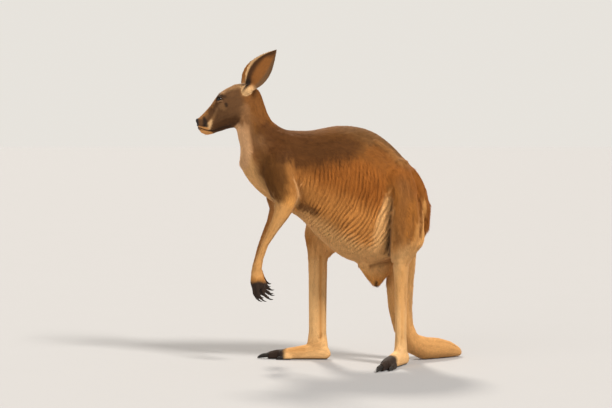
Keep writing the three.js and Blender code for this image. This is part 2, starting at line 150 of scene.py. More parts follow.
COLOURS = {
    "back": (120, 76, 32), "back_dark": (88, 52, 20), "back_grey": (112, 78, 44),
    "flank": (150, 88, 32), "flank_dark": (130, 72, 20), "flank_pale": (186, 124, 62),
    "belly": (222, 170, 110), "groin": (206, 138, 68), "rump": (146, 86, 30), "hip": (156, 92, 34),
    "neck": (118, 76, 36), "neck_dark": (86, 49, 15), "neck_side": (146, 104, 66),
    "nape": (124, 75, 26), "throat": (220, 170, 122), "shoulder": (98, 60, 22),
    "elbow": (214, 150, 78), "thigh": (160, 100, 40), "thigh_dark": (128, 82, 40),
    "thigh_pale": (226, 164, 94), "limb": (222, 174, 116), "limb_shade": (178, 122, 62),
    "forearm": (200, 146, 86), "tail": (206, 152, 92), "tail_grey": (178, 136, 92),
    "face": (96, 65, 38), "face_low": (82, 52, 26), "forehead": (150, 110, 70),
    "muzzle": (156, 104, 52), "cream": (230, 184, 130), "lip": (218, 154, 90),
    "patch": (40, 26, 14), "crease": (92, 54, 22), "black": (42, 28, 18), "nose": (24, 18, 16),
    "ear_back": (134, 86, 38), "ear_inside": (146, 92, 42), "ear_dark": (78, 48, 22),
    "ear_band": (122, 88, 56), "orange": (130, 80, 34), "lid": (190, 146, 106),
}

# colour, strength, softness and a stroke of (y, z, radius); then |x| from and to and the side,
# where 0 is both, unless the mark goes right across
MARKS = [
    ("back", 1.0, 62, [(-250, 1010, 50), (-150, 990, 70), (-30, 990, 84), (80, 1005, 88),
        (190, 975, 78), (270, 905, 56), (330, 835, 26)]),
    ("back_dark", 0.95, 70, [(-240, 930, 50), (-150, 905, 52), (-40, 900, 34), (60, 915, 24)]),
    ("flank_dark", 0.7, 50, [(50, 715, 14), (130, 700, 26), (180, 745, 20)]),
    ("flank_pale", 0.9, 96, [(-118, 730, 24), (-90, 650, 64), (10, 592, 80), (110, 532, 92),
        (200, 540, 60)]),
    ("belly", 0.8, 60, [(-150, 650, 8), (-60, 580, 14), (40, 510, 20), (130, 450, 26),
        (205, 440, 34)]),
    ("belly", 0.9, 24, [(243, 700, 5), (230, 620, 17), (218, 540, 25),
        (206, 470, 26)], 60, 400, 1),
    ("belly", 0.9, 30, [(-375, 870, 26), (-330, 790, 30), (-270, 730, 28),
        (-190, 690, 22)], 0, 95, 0),
    ("hip", 0.9, 40, [(260, 800, 18), (320, 810, 30), (350, 760, 26)], 30, 400, 0),
    ("thigh_dark", 0.75, 44, [(304, 768, 10), (318, 725, 12)], 60, 400, 0),
    ("thigh_dark", 0.6, 30, [(300, 680, 8), (292, 620, 12), (284, 540, 10)], 60, 400, 1),
    ("thigh_pale", 0.5, 16, [(372, 600, 2), (352, 520, 4), (322, 450, 5)], 60, 400, 1),
    ("thigh_dark", 0.5, 12, [(346, 640, 1), (338, 560, 3), (318, 500, 2)], 60, 400, 1),
    ("neck_dark", 0.9, 42, [(-268, 1015, 14), (-262, 965, 28), (-244, 930, 30)]),
    ("nape", 0.8, 20, [(-300, 1160, 20), (-270, 1090, 22), (-245, 1030, 20)], 0, 30, 0),
    ("orange", 0.7, 32, [(-338, 1146, 14), (-324, 1104, 24), (-304, 1056, 20)]),
    ("neck_side", 0.7, 26, [(-358, 1080, 6), (-354, 1020, 14), (-346, 960, 8)]),
    ("throat", 1.0, 30, [(-388, 1002, 2), (-378, 968, 22), (-372, 915, 26), (-378, 862, 20)]),
    ("flank_pale", 0.7, 30, [(-176, 836, 2), (-162, 790, 12), (-150, 742, 12)], 50, 400, 0),
    ("neck_side", 0.6, 36, [(-306, 950, 6), (-300, 900, 12), (-292, 850, 10)]),
    ("shoulder", 0.92, 46, [(-294, 888, 6), (-262, 848, 26), (-238, 800, 31), (-226, 752, 20),
        (-222, 716, 6)], 30, 400, 0),
    ("shoulder", 0.5, 14, [(-236, 716, 4), (-214, 724, 6)], 60, 400, 0),
    ("elbow", 0.9, 28, [(-165, 700, 8), (-172, 668, 22)], 60, 400, 0),
    ("forearm", 0.95, 30, [(-200, 630, 36), (-255, 540, 36), (-300, 420, 30)], 60, 400, 0),
    ("limb", 0.5, 12, [(-200, 612, 3), (-232, 540, 4), (-276, 440, 4)], 60, 400, 0),
    # painted highlight along the front edge of the upper arm
    ("cream", 0.8, 11, [(-378, 826, 3), (-303, 748, 4), (-236, 694, 5)], 50, 400, 0),
    # painted shade behind the elbow, strong on the left side and faint on the right
    ("crease", 0.85, 15, [(-128, 678, 9), (-96, 664, 10), (-62, 650, 7)], 20, 130, 1),
    ("crease", 0.4, 24, [(-128, 678, 7), (-96, 664, 7), (-62, 650, 3)], 20, 130, -1),
    # painted highlight down the back edge of the upper arm, with painted shade in a line just
    # behind it
    ("cream", 0.5, 7, [(-152, 790, 0), (-135, 748, 2), (-132, 715, 2),
        (-142, 676, 2)], 60, 400, 0),
    ("crease", 0.45, 12, [(-134, 786, 0), (-116, 742, 2), (-114, 704, 3)], 60, 400, 0),
    # painted shade on the inner side of the far (right) forearm
    ("flank_dark", 0.8, 18, [(-262, 712, 12), (-262, 650, 16), (-280, 590, 14), (-306, 520, 8),
        (-326, 440, 3)], 0, 104, -1),
    ("rump", 0.95, 22, [(345, 838, 12), (386, 748, 20), (418, 640, 20), (424, 580, 14)]),
    ("tail_grey", 0.8, 20, [(428, 560, 8), (422, 530, 6)]),
    ("limb", 0.85, 76, [(312, 462, 6), (304, 420, 28), (300, 390, 36)], 40, 400, 1),
    ("belly", 0.5, 60, [(-50, 440, 40), (-50, 400, 40)], 40, 400, -1),
    # painted shade on the upper far (right) thigh, under the belly
    ("thigh_dark", 0.45, 70, [(-20, 590, 20), (40, 560, 20)], 40, 400, -1),
    # painted shade on the far foot
    ("limb_shade", 0.4, 24, [(-60, 60, 14), (-150, 40, 14)], 0, 400, -1),
    ("thigh_pale", 0.95, 11, [(400, 690, 6), (404, 600, 10), (392, 530, 12),
        (360, 480, 10)], 60, 400, 1),
    # painted shade in the fold between the thigh and the rump
    ("crease", 0.7, 9, [(378, 706, 1), (383, 620, 2), (378, 540, 1)], 60, 400, 1),
    # painted shadow in the gap between the thigh and the belly
    ("patch", 0.85, 9, [(257, 704, 0), (251, 620, 1), (248, 555, 3), (243, 470, 6)], 60, 400, 1),
    # painted shade in the crease of the groin, stronger on the left
    ("crease", 0.65, 13, [(262, 436, 3), (214, 424, 4), (176, 414, 3)], 0, 400, 1),
    ("crease", 0.35, 16, [(262, 436, 1), (214, 424, 1), (176, 414, 1)], 0, 400, -1),
    ("back_grey", 0.75, 44, [(60, 1012, 8), (160, 990, 22), (240, 942, 22), (300, 885, 12),
        (330, 858, 4)]),
    # painted highlight along the ridge over the pelvis, and painted shade in the groove below it
    ("flank_pale", 0.35, 14, [(190, 944, 1), (256, 900, 2), (284, 866, 3),
        (322, 854, 2)], 36, 150, 0),
    ("crease", 0.4, 16, [(180, 926, 1), (240, 886, 2), (274, 848, 2)], 30, 400, 0),
    ("rump", 0.6, 26, [(170, 900, 14), (225, 868, 18), (262, 842, 12)], 40, 400, 0),
    ("face_low", 0.9, 18, [(-470, 1008, 12), (-430, 1014, 16), (-402, 1024, 11)]),
    ("forehead", 0.9, 20, [(-462, 1158, 8), (-430, 1176, 14), (-388, 1188, 14)]),
    ("muzzle", 0.85, 14, [(-548, 1050, 7), (-520, 1082, 10), (-494, 1112, 8)]),
    ("face_low", 0.85, 15, [(-506, 1070, 7), (-496, 1048, 10), (-508, 1030, 5)], 12, 400, 0),
    ("forehead", 0.4, 13, [(-504, 1026, 4), (-488, 1052, 1), (-474, 1078, -1)], 12, 400, 0),
    ("cream", 0.85, 10, [(-513, 1000, 5), (-507, 1016, 4), (-500, 1030, -1)], 12, 400, 0),
    ("nose", 0.85, 12, [(-532, 1044, -3), (-527, 1026, 4), (-524, 1006, 5)], 10, 400, 0),
    ("lip", 0.95, 7, [(-550, 979, 8), (-524, 974, 9), (-504, 972, 7)]),
    ("lip", 0.9, 5, [(-556, 1004, 2), (-538, 997, 4), (-518, 994, 5)]),
    ("cream", 0.5, 17, [(-380, 1184, 1), (-366, 1164, 4), (-356, 1148, 5)], 20, 400, 0),
    ("nose", 1.0, 3.5, [(-566, 1032, 9), (-563, 1014, 8), (-562, 1004, 3)], 0, 24, 0),
    ("forehead", 0.35, 13, [(-456, 1094, 4), (-448, 1086, 6)], 20, 400, 0),
    ("patch", 0.85, 8, [(-437, 1099, 2), (-436, 1092, 2.5)], 20, 400, 0),
    ("patch", 0.6, 10, [(-480, 1132, 1), (-464, 1135, 2.5), (-440, 1130, 1)], 20, 400, 0),
    ("black", 0.9, 2.2, [(-563, 1003, 1.2), (-548, 999, 1.2), (-530, 992, 1.3), (-513, 987, 1.6),
        (-497, 986, 1.8), (-482, 990, 1)]),
    # painted shade in the cheek fold that runs back from the corner of the mouth
    ("patch", 0.6, 8, [(-480, 990, 2), (-455, 1000, 2), (-420, 1008, 1)]),
    ("patch", 0.85, 8, [(195, 346, 5), (196, 334, 6)]),
    ("cream", 0.75, 18, [(296, 66, 6), (274, 44, 10)], 60, 400, 1),
    # painted shade in the grooves down the back of each shank, and on the far foot
    ("limb_shade", 0.8, 8, [(-36, 450, 3), (-38, 300, 2.5), (-36, 90, 3)], 40, 400, -1),
    ("limb_shade", 0.55, 6, [(306, 430, 2), (304, 300, 2), (304, 110, 2)], 60, 400, 1),
    ("limb_shade", 0.5, 12, [(-110, 48, 4), (-190, 42, 5)], 0, 400, -1),
    ("tail", 1.0, 70, [(400, 470, 30), (370, 400, 50), (345, 330, 60)]),
    ("tail_grey", 0.7, 14, [(345, 300, 3), (356, 220, 5), (380, 158, 7), (440, 140, 5),
        (520, 132, 5)]),
]


def linear(colour):
    share = np.asarray(colour, float) / 255
    return np.where(share <= 0.04045, share / 12.92, ((share + 0.055) / 1.055) ** 2.4)


def smoothstep(low, high, value):
    t = np.clip((value - low) / (high - low), 0, 1)
    return t * t * (3 - 2 * t)


def stroke_distance(points, stroke):
    """Distance in side view from each point to a stroke's edge, negative inside it."""
    flat = points[:, 1:3]
    best = np.full(len(points), 1e9)
    stroke = np.array(stroke, float)
    for start, end in zip(stroke[:-1], stroke[1:]):
        way = end[:2] - start[:2]
        share = np.clip((flat - start[:2]) @ way / max(way @ way, 1e-6), 0, 1)
        gap = np.linalg.norm(flat - start[:2] - share[:, None] * way, axis=1)
        best = np.minimum(best, gap - start[2] - share * (end[2] - start[2]))
    return best


def value_noise(points, scale, seed):
    """Smooth noise from -1 to 1 over a lattice of the given size."""
    spot = np.asarray(points, float) / scale + 517.3 + seed * 31.7
    cell = np.floor(spot).astype(np.int64)
    part = spot - cell
    part = part * part * (3 - 2 * part)
    total = np.zeros(len(spot))
    for corner in range(8):
        step = np.array([corner & 1, corner >> 1 & 1, corner >> 2 & 1])
        key = (cell + step) @ np.array([73856093, 19349663, 83492791]) + seed * 2654435761
        key = (key ^ (key >> 13)) * 1274126177 & 0xFFFFFFFF
        key = (key ^ (key >> 16)) & 0xFFFF
        weight = np.prod(np.where(step, part, 1 - part), axis=1)
        total += weight * (key / 32767.5 - 1)
    return total


def noise_vectors(points, scale, *seeds):
    return np.stack([value_noise(points, scale, seed) for seed in seeds], axis=1)


def dots(first, second):
    return np.einsum("ij,ij->i", first, second)


def unit(rows):
    return rows / np.maximum(np.linalg.norm(rows, axis=1, keepdims=True), 1e-6)


def ear_spot(points, side):
    """Each point in an ear's own frame: across, out of the cup's mouth, and along."""
    local = points.copy()
    if side == "right":
        local = local - EAR_SHIFT
        local[:, 0] *= -1
    return (local - EAR_BASE) @ EAR_TURN


def foot_along(points, side):
    return (points[:, :2] - np.array(FOOT_HEEL[side])) @ np.array(foot_way(side)[:2])


# ---- meshes as arrays ----


def read(rows, field, width, kind=np.float32):
    """One field of all the rows of a mesh, as an array."""
    values = np.empty(len(rows) * width, kind)
    rows.foreach_get(field, values)
    return values.reshape(-1, width)


def vertices_of(mesh):
    return read(mesh.vertices, "co", 3).astype(float)


def normals_of(mesh):
    return read(mesh.vertex_normals, "vector", 3).astype(float)


class Web:
    """The vertices of a mesh with their neighbours, for smoothing and spreading values."""

    def __init__(self, mesh):
        edges = read(mesh.edges, "vertices", 2, np.int32)
        ends, others = edges.T.ravel(), edges[:, ::-1].T.ravel()
        order = np.argsort(ends, kind="stable")
        self.near = others[order]
        self.starts = np.searchsorted(ends[order], np.arange(len(mesh.vertices)))
        self.count = np.bincount(ends, minlength=len(mesh.vertices)).astype(float)

    def mean(self, values):
        return np.add.reduceat(values[self.near], self.starts, axis=0) / self.count[:, None]

    def spread(self, values, rounds):
        """Moves each value towards its neighbours' mean, over and over."""
        rows = np.asarray(values, float).reshape(len(values), -1)
        for _ in range(rounds):
            rows = 0.5 * rows + 0.5 * self.mean(rows)
        return rows.reshape(values.shape)

    def smooth(self, points, rounds):
        """Smooths each vertex for its own number of rounds."""
        for step in range(int(rounds.max())):
            share = np.clip(rounds - step, 0, 1)[:, None] * 0.5
            points = points + share * (self.mean(points) - points)
        return points


def move_to(mesh, spots):
    mesh.vertices.foreach_set("co", spots.astype(np.float32).ravel())
    mesh.update()


def write_attribute(mesh, name, kind, values):
    layer = mesh.attributes.get(name) or mesh.attributes.new(name, kind, "POINT")
    field = {"FLOAT": "value", "FLOAT_COLOR": "color", "FLOAT_VECTOR": "vector"}[kind]
    layer.data.foreach_set(field, np.asarray(values, np.float32).ravel())


def add_object(name, data):
    thing = bpy.data.objects.new(name, data)
    bpy.context.scene.collection.objects.link(thing)
    return thing


def shade_smooth(mesh):
    mesh.polygons.foreach_set("use_smooth", np.ones(len(mesh.polygons), bool))


def new_piece(name, mesh, material):
    shade_smooth(mesh)
    mesh.materials.clear()
    mesh.materials.append(material)
    thing = add_object(name, mesh)
    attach(thing, "root")
    return thing


def mesh_from(shape, name):
    """The mesh of a bmesh, which is freed."""
    mesh = bpy.data.meshes.new(name)
    shape.to_mesh(mesh)
    shape.free()
    return mesh


def add_solid(group, node, swell=0.0):
    """Adds a node's solid to a bmesh, welded, and swollen by so many metres."""
    piece = bmesh.new()
    piece.from_mesh(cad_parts[node].data)
    bmesh.ops.remove_doubles(piece, verts=piece.verts, dist=WELD)
    piece.normal_update()
    for vert in piece.verts:
        vert.co += vert.normal * swell
    shell = mesh_from(piece, "shell")
    group.from_mesh(shell)
    bpy.data.meshes.remove(shell)


def baked(thing, name):
    """A new mesh holding an object's shape with its modifiers applied; the object goes."""
    depsgraph = bpy.context.evaluated_depsgraph_get()
    mesh = bpy.data.meshes.new_from_object(thing.evaluated_get(depsgraph))
    mesh.name = name
    bpy.data.objects.remove(thing)
    return mesh


# ---- materials ----


class Socket:
    """A shader value that can be used in sums."""

    def __init__(self, board, output):
        self.board = board
        self.output = output

    def clamped(self):
        settings = {"operation": "ADD", "use_clamp": True}
        return self.board.node("ShaderNodeMath", settings, self, 0.0)


def sum_method(operation, swapped):
    def method(self, other):
        pair = (other, self) if swapped else (self, other)
        return self.board.node("ShaderNodeMath", {"operation": operation}, *pair)

    return method


for sign, operation in (("add", "ADD"), ("sub", "SUBTRACT"), ("mul", "MULTIPLY")):
    setattr(Socket, f"__{sign}__", sum_method(operation, False))
    setattr(Socket, f"__r{sign}__", sum_method(operation, True))


class Board:
    """A material's nodes: one method adds any of them."""

    def __init__(self, name, **constants):
        self.material = bpy.data.materials.new(name)
        self.material.use_nodes = True
        self.tree = self.material.node_tree
        self.shader = self.tree.nodes["Principled BSDF"]
        for socket, value in constants.items():
            self.shader.inputs[socket.replace("_", " ")].default_value = value

    def node(self, kind, settings=None, *values, output=0, **named):
        added = self.tree.nodes.new(kind)
        for key, value in (settings or {}).items():
            if key == "stops":
                ramp = added.color_ramp.elements
                while len(ramp) < len(value):
                    ramp.new(1.0)
                for element, (position, colour) in zip(ramp, value):
                    element.position = position
                    element.color = (*colour, 1.0)
            else:
                setattr(added, key, value)
        for key, value in [*enumerate(values), *named.items()]:
            if value is None:
                continue
            socket = added.inputs[key if isinstance(key, int) else key.replace("_", " ")]
            if isinstance(value, Socket):
                self.tree.links.new(value.output, socket)
            else:
                socket.default_value = value
        return Socket(self, added.outputs[output])

    def feed(self, **sockets):
        for name, value in sockets.items():
            self.tree.links.new(value.output, self.shader.inputs[name.replace("_", " ")])

    def coordinates(self):
        return self.node("ShaderNodeTexCoord", output="Object")

    def attribute(self, name, output="Color"):
        return self.node("ShaderNodeAttribute", {"attribute_name": name}, output=output)

    def noise(self, scale, detail=3.0, roughness=0.55, at=None):
        return self.node("ShaderNodeTexNoise", None, at or self.coordinates(), Scale=scale,
                         Detail=detail, Roughness=roughness)

    def mix(self, share, first, second, blend="MIX"):
        added = self.tree.nodes.new("ShaderNodeMix")
        added.data_type = "RGBA"
        added.blend_type = blend
        for socket, value in ((0, share), (6, first), (7, second)):
            if isinstance(value, Socket):
                self.tree.links.new(value.output, added.inputs[socket])
            else:
                added.inputs[socket].default_value = (*value, 1.0) if socket else value
        return Socket(self, added.outputs[2])

    def bump(self, height, distance, strength):
        return self.node("ShaderNodeBump", None, Strength=strength, Distance=distance,
                         Height=height)

    def hair(self, tint, low, rest):
        """A tint, darkened and lightened in broad patches and by what is added."""
        shade = low + 0.2 * self.noise(42.0, 4.0) + rest
        grey = self.node("ShaderNodeCombineColor", None, shade, shade, shade)
        return self.mix(1.0, tint, grey, "MULTIPLY")


def skin_material():
    """Short dense fur lying flat on the skin, and bare damp skin on nose, palms and soles."""
    board = Board("short_fur", Specular_IOR_Level=0.15, Sheen_Weight=0.05, Sheen_Roughness=0.5)
    tint = board.attribute("coat_tint")
    bare = board.attribute("bare", "Fac")
    strands = board.noise(900.0, 3.0, at=board.attribute("strand", "Vector"))
    grain = board.noise(1400.0, 2.0)
    # the fur on the skin is kept a little darker than the coat's tufts (0.72 against 0.78), as
    # painted shade in the gaps between the tufts
    furry = board.hair(tint, 0.72, 0.3 * strands)
    pores = board.node("ShaderNodeTexVoronoi", None, board.coordinates(), Scale=420.0)
    damp = board.mix(pores * 0.5, tint, (0.05, 0.035, 0.03))
    board.feed(
        Base_Color=board.mix(bare, furry, damp),
        Roughness=0.85 - 0.36 * bare + 0.1 * grain * bare,
        Normal=board.bump(strands * (1.0 - bare) + pores * bare * 0.8, 0.0016, 0.7),
    )
    return board.material


def coat_material():
    """Hair: darker at the roots, paler and a little shiny towards the tips."""
    board = Board("coat_hair", Specular_IOR_Level=0.15, Sheen_Weight=0.08, Sheen_Roughness=0.45)
    tint = board.attribute("coat_tint")
    along = board.attribute("along", "Fac")
    streaks = board.noise(800.0, 2.0)
    board.feed(
        Base_Color=board.hair(tint, 0.78, 0.24 * along + 0.12 * streaks),
        Roughness=0.78 - 0.14 * along,
        Normal=board.bump(streaks, 0.0004, 0.3),
    )
    return board.material


def eye_material():
    """A dark brown iris round a wide black pupil, under a wet cornea."""
    board = Board("wet_eye", Coat_Weight=0.55, Coat_Roughness=0.02, Specular_IOR_Level=0.1)
    ring = board.attribute("ring", "Fac")
    fibres = board.noise(900.0, 3.0)
    wander = ring + 0.05 * fibres - 0.025
    iris = board.node("ShaderNodeValToRGB", {"stops": [
        (0.0, (0.002, 0.001, 0.001)), (0.40, (0.003, 0.002, 0.001)), (0.50, (0.022, 0.009, 0.004)),
        (0.66, (0.030, 0.013, 0.006)), (0.74, (0.008, 0.005, 0.003)), (1.0, (0.012, 0.008, 0.006)),
    ]}, wander)
    board.feed(Base_Color=iris, Roughness=0.12 + 0.1 * fibres)
    return board.material


def claw_material():
    """Dull dark horn, streaked along its length and worn paler at the point."""
    board = Board("claw_horn", Specular_IOR_Level=0.3)
    along = board.attribute("along", "Fac")
    streaks = board.noise(240.0, 4.0)
    dark = board.mix(streaks, (0.006, 0.0045, 0.004), (0.020, 0.015, 0.011))
    board.feed(
        Base_Color=board.mix((along * along * along * 0.4).clamped(), dark, (0.06, 0.045, 0.032)),
        Roughness=0.42 + 0.22 * streaks,
        Normal=board.bump(streaks, 0.0006, 0.5),
    )
    return board.material


def whisker_material():
    board = Board("whisker_hair", Specular_IOR_Level=0.4)
    along = board.attribute("along", "Fac")
    streaks = board.noise(300.0, 2.0)
    board.feed(
        Base_Color=board.mix(along, (0.020, 0.014, 0.011), (0.10, 0.07, 0.05)),
        Roughness=0.4 + 0.15 * streaks,
    )
    return board.material


# ---- the skin ----

# bulges and hollows: centre, radii along x, y and z, tilt in side view in degrees, height
FORMS = [
    ((56, -415, 1046), (30, 36, 34), 0, 3.0),        # jaw muscle
    ((50, -452, 1088), (20, 34, 9), 40, 3.2),        # cheek bone
    ((36, -498, 1066), (20, 30, 12), 50, -3.0),      # hollow before the eye
    ((24, -536, 1012), (14, 20, 13), 0, 3.0),        # whisker pad
    ((0, -430, 1180), (9, 40, 20), 0, -1.5),         # furrow of the forehead
    ((116, -232, 846), (30, 40, 62), -12, 7.0),      # shoulder muscle
    ((118, -164, 790), (26, 24, 54), 14, 6.0),       # back of the upper arm
    ((116, -226, 772), (26, 16, 44), 0, 4.0),        # front of the upper arm
    ((100, -196, 812), (40, 9, 56), 6, -4.0),        # groove between them
    ((98, -140, 694), (20, 14, 14), 0, 4.0),         # point of the elbow
    ((90, -226, 950), (34, 60, 16), -35, -4.0),      # hollow above the shoulder
    ((104, -250, 600), (16, 14, 60), -22, 2.6),      # forearm muscle
    ((150, 236, 700), (40, 34, 80), 0, -9.0),        # hollow in front of the thigh
    ((124, 296, 800), (40, 34, 40), 0, 7.0),         # hip
    ((140, 320, 640), (40, 44, 90), 0, 5.0),         # thigh muscle
    ((60, 10, 1002), (26, 190, 16), 0, -2.5),        # hollow beside the spine
    ((128, 90, 640), (60, 150, 110), 0, 4.0),        # belly
    ((100, -60, 800), (60, 90, 110), 0, -3.0),       # behind the ribs' front
]
NOSTRILS = [((9.5, -566, 1025), (5.0, 6.5, 3.6), 35, -6.5)]

# grooves: |x| from, width, depth, sides, and a line of (y, z) in side view
GROOVES = [
    (0, 3.2, 3.4, (1, -1), [(-563, 1003), (-548, 999), (-530, 992), (-513, 987), (-497, 986),
                            (-482, 990)]),
    (0, 8, 2.0, (1, -1), [(-480, 990), (-455, 1000), (-420, 1008)]),
    (40, 10, 8.0, (1, -1), [(-372, 812), (-303, 738), (-236, 684)]),
    (60, 12, 5.0, (1, -1), [(-128, 686), (-96, 668), (-66, 652)]),
    (0, 10, 10.0, (1, -1), [(262, 434), (214, 422), (176, 412)]),
    (40, 6, 3.4, (-1,), [(-36, 450), (-38, 300), (-36, 90)]),
    (60, 5, 2.4, (1,), [(306, 430), (304, 300), (304, 110)]),
    (60, 5, 2.0, (1, -1), [(-246, 640), (-262, 580), (-284, 500), (-300, 440)]),
    (30, 8, 2.2, (1, -1), [(-345, 1010), (-338, 960), (-330, 910)]),
    (20, 4, 1.6, (1, -1), [(-488, 1094), (-500, 1080), (-512, 1060)]),
    (36, 11, 6.5, (1, -1), [(180, 928), (240, 888), (272, 850)]),
    (36, 8, -5.5, (1, -1), [(190, 946), (256, 902), (284, 868), (322, 856)]),
    (0, 6, -2.5, (1, -1), [(125, 412), (165, 400)]),
]

# places where the hair is longer or shorter: a stroke, softness, and by how much
LONG_HAIR = [
    ([(-390, 1030, 10), (-380, 950, 24), (-378, 870, 20)], 20, 0.35),
    ([(-160, 830, 12), (-148, 760, 18)], 20, 0.3),
    ([(-60, 590, 10), (60, 500, 10), (150, 440, 10)], 26, 0.3),
    ([(360, 820, 12), (400, 720, 16), (424, 600, 14)], 20, 0.45),
    ([(405, 640, 6), (396, 530, 8)], 12, 0.35),
    ([(-372, 1176, 8), (-356, 1152, 9)], 8, 0.9),
    ([(260, 440, 8), (200, 420, 8)], 12, 0.4),
    ([(296, 66, 6), (274, 44, 10)], 14, 0.8),
    ([(20, 660, 90), (150, 640, 90)], 60, -0.3),
]


def form_height(points, centre, radii, tilt, height):
    turn = math.radians(tilt)
    total = np.zeros(len(points))
    for side in (1, -1):
        away = points - np.array(centre) * np.array([side, 1, 1])
        along = away[:, 1] * math.cos(turn) + away[:, 2] * math.sin(turn)
        up = -away[:, 1] * math.sin(turn) + away[:, 2] * math.cos(turn)
        reach = (away[:, 0] / radii[0]) ** 2 + (along / radii[1]) ** 2 + (up / radii[2]) ** 2
        total = np.maximum(total, np.exp(-reach * 0.9))
    return total * height


def groove_height(points, inner, width, depth, sides, line):
    gap = stroke_distance(points, [(y, z, 0) for y, z in line])
    total = np.exp(-((gap / width) ** 2))
    kept = np.full(len(points), 0.0 if inner else 1.0)
    for side in sides if inner else ():
        kept = np.maximum(kept, smoothstep(inner - 8, inner + 2, points[:, 0] * side))
    return -depth * total * kept


def ripple_height(points, trunk):
    """Folds of loose skin on the flank: upright above, sweeping forwards and down below."""
    y, z = points[:, 1], points[:, 2]
    below = 30 * np.log1p(np.exp(np.clip((760 - z) / 30, -20, 12)))
    wander = 0.5 * value_noise(points, 70, 1) + 0.24 * value_noise(points, 22, 2)
    phase = (y - 290 + (0.0022 - 3.0e-6 * y) * below**2) / (16.5 + 0.016 * below) + wander
    wave = np.sin(2 * math.pi * phase) + 0.35 * np.sin(4 * math.pi * phase + 0.9)
    region = smoothstep(36, -24, stroke_distance(points, [
        (-95, 790, 34), (0, 770, 96), (110, 745, 112), (185, 690, 80), (180, 560, 62),
        (90, 560, 76), (0, 600, 62), (-70, 650, 46)]))
    lower = smoothstep(760, 590, z)
    broken = 0.72 + 0.45 * value_noise(points, 38, 3)
    return wave * region * trunk * (0.95 + 0.85 * lower) * np.clip(broken, 0.2, 1.2)


RUMP_FOLD = [(338, 850), (366, 780), (388, 700), (404, 610), (404, 560)]
ARM_FOLD = [(-152, 804), (-133, 750), (-129, 715), (-134, 690), (-150, 652)]
# a fold where one form laps over the next: |x| from, side, its line of (y, z), how deep and how
# far the lower one sinks, how high and how far the upper one swells, and 1 if the upper is behind
FOLDS = [
    (70, 1, [(262, 740), (257, 700), (252, 620), (248, 555), (243, 462), (250, 430)],
     17, 15, 9, 24, 1),
    (60, 1, [(372, 730), (380, 690), (383, 620), (380, 540), (366, 500)], 7, 9, 4, 12, 1),
    (20, 1, RUMP_FOLD, 8, 9, 5, 18, 1),
    (20, -1, RUMP_FOLD, 8, 9, 5, 18, 1),
    (60, 1, [(-300, 742), (-262, 712), (-240, 694)], 3, 8, 3, 14, 1),
    (60, 1, ARM_FOLD, 7, 13, 4, 15, -1),
    (60, -1, ARM_FOLD, 5, 13, 3, 15, -1),
]


def fold_height(points, inner, side, line, depth, front, rise, back, way):
    line = np.array(sorted(line, key=lambda spot: spot[1]), float)
    z = points[:, 2]
    gap = (points[:, 1] - np.interp(z, line[:, 1], line[:, 0])) * way
    ends = smoothstep(line[0, 1] - 25, line[0, 1] + 25, z) * smoothstep(
        line[-1, 1] + 30, line[-1, 1] - 30, z)
    sunk = np.where(gap < 0, np.exp(np.minimum(gap, 0) / front), np.exp(-((gap / 4.5) ** 2)))
    swell = np.exp(-(((gap - back) / back) ** 2)) * (gap > 0) * smoothstep(0, 8, gap)
    kept = smoothstep(inner - 10, inner + 5, points[:, 0] * side)
    return (swell * rise - sunk * depth) * ends * kept


EYE_WAY = Vector((0.93, -0.28, 0.20)).normalized()
EYE_SLIT = Vector((0.24, 0.90, 0.26))


def eye_axes(side):
    """Outwards, along the slit, and up across it, for one eye."""
    flip = Vector((side, 1, 1))
    out = Vector(a * b for a, b in zip(EYE_WAY, flip)).normalized()
    slit = Vector(a * b for a, b in zip(EYE_SLIT, flip))
    slit = (slit - out * slit.dot(out)).normalized()
    up = slit.cross(out) * -side
    return np.array(out), np.array(slit), np.array(up if up.z > 0 else -up)


EYE_AT = {1: np.array((39.5, -463.0, 1118.0)), -1: np.array((-39.5, -463.0, 1118.0))}
LID_REACH = 11.8
LID_UP = 7.0
LID_DOWN = 6.2
LID_THICK = 1.5
LID_FADE = (34, 26)


def lid_spot(away, side):
    """Where each point lies along and across an eye's slit, and 1 where the slit's edge is."""
    _, slit, up = eye_axes(side)
    u, w = away @ slit, away @ up
    half = np.where(w > 0, LID_UP, LID_DOWN)
    return u, w, (np.abs(u) / LID_REACH) ** 2 + np.abs(w) / half * 0.35 + (w / half) ** 2 * 0.65


def eye_gap(points):
    """How far each point is from the nearer eye's centre."""
    return np.minimum(*(np.linalg.norm(points - EYE_AT[side], axis=1) for side in (1, -1)))


def open_lids(points):
    """Wraps the skin over each eyeball and opens an almond-shaped slit in it."""
    spots = points.copy()
    near = np.zeros(len(points))
    for side in (1, -1):
        away = points - EYE_AT[side]
        length = np.linalg.norm(away, axis=1)
        ahead = away @ eye_axes(side)[0]
        _, w, open_at = lid_spot(away, side)
        here = (length < LID_FADE[0]) & (ahead > 0)
        edge = np.exp(-((open_at - 1.25) / 0.35) ** 2)
        brow = np.exp(-((w - 12) / 5) ** 2) * smoothstep(1.2, 2, open_at)
        wrap = EYE_RADIUS + LID_THICK + np.where(w > 0, 1.7, 0.9) * edge + 2.6 * brow
        lifted = np.maximum(length, wrap)
        inside = smoothstep(1.12, 0.92, open_at)
        target = lifted * (1 - inside) + (EYE_RADIUS - 2.6) * inside
        fade = smoothstep(*LID_FADE, length)
        new = length + (target - length) * fade
        scale = np.where(here, new / np.maximum(length, 1e-6), 1.0)
        spots = np.where(here[:, None], EYE_AT[side] + away * scale[:, None], spots)
        near = np.maximum(near, np.where(here, smoothstep(1.2, 1.7, open_at) * fade, 0))
    return spots, near


NOSE = (0, -556, 1012)
NOSE_TIP = [(-566, 1032, 9), (-563, 1014, 8)]
HAND_AREA = [(-350, 288, 66), (-290, 288, 70)]
OVERLAP = 0.0007  # what the solids are swollen by, to join where they meet
SKIN_LOWEST = 0.2


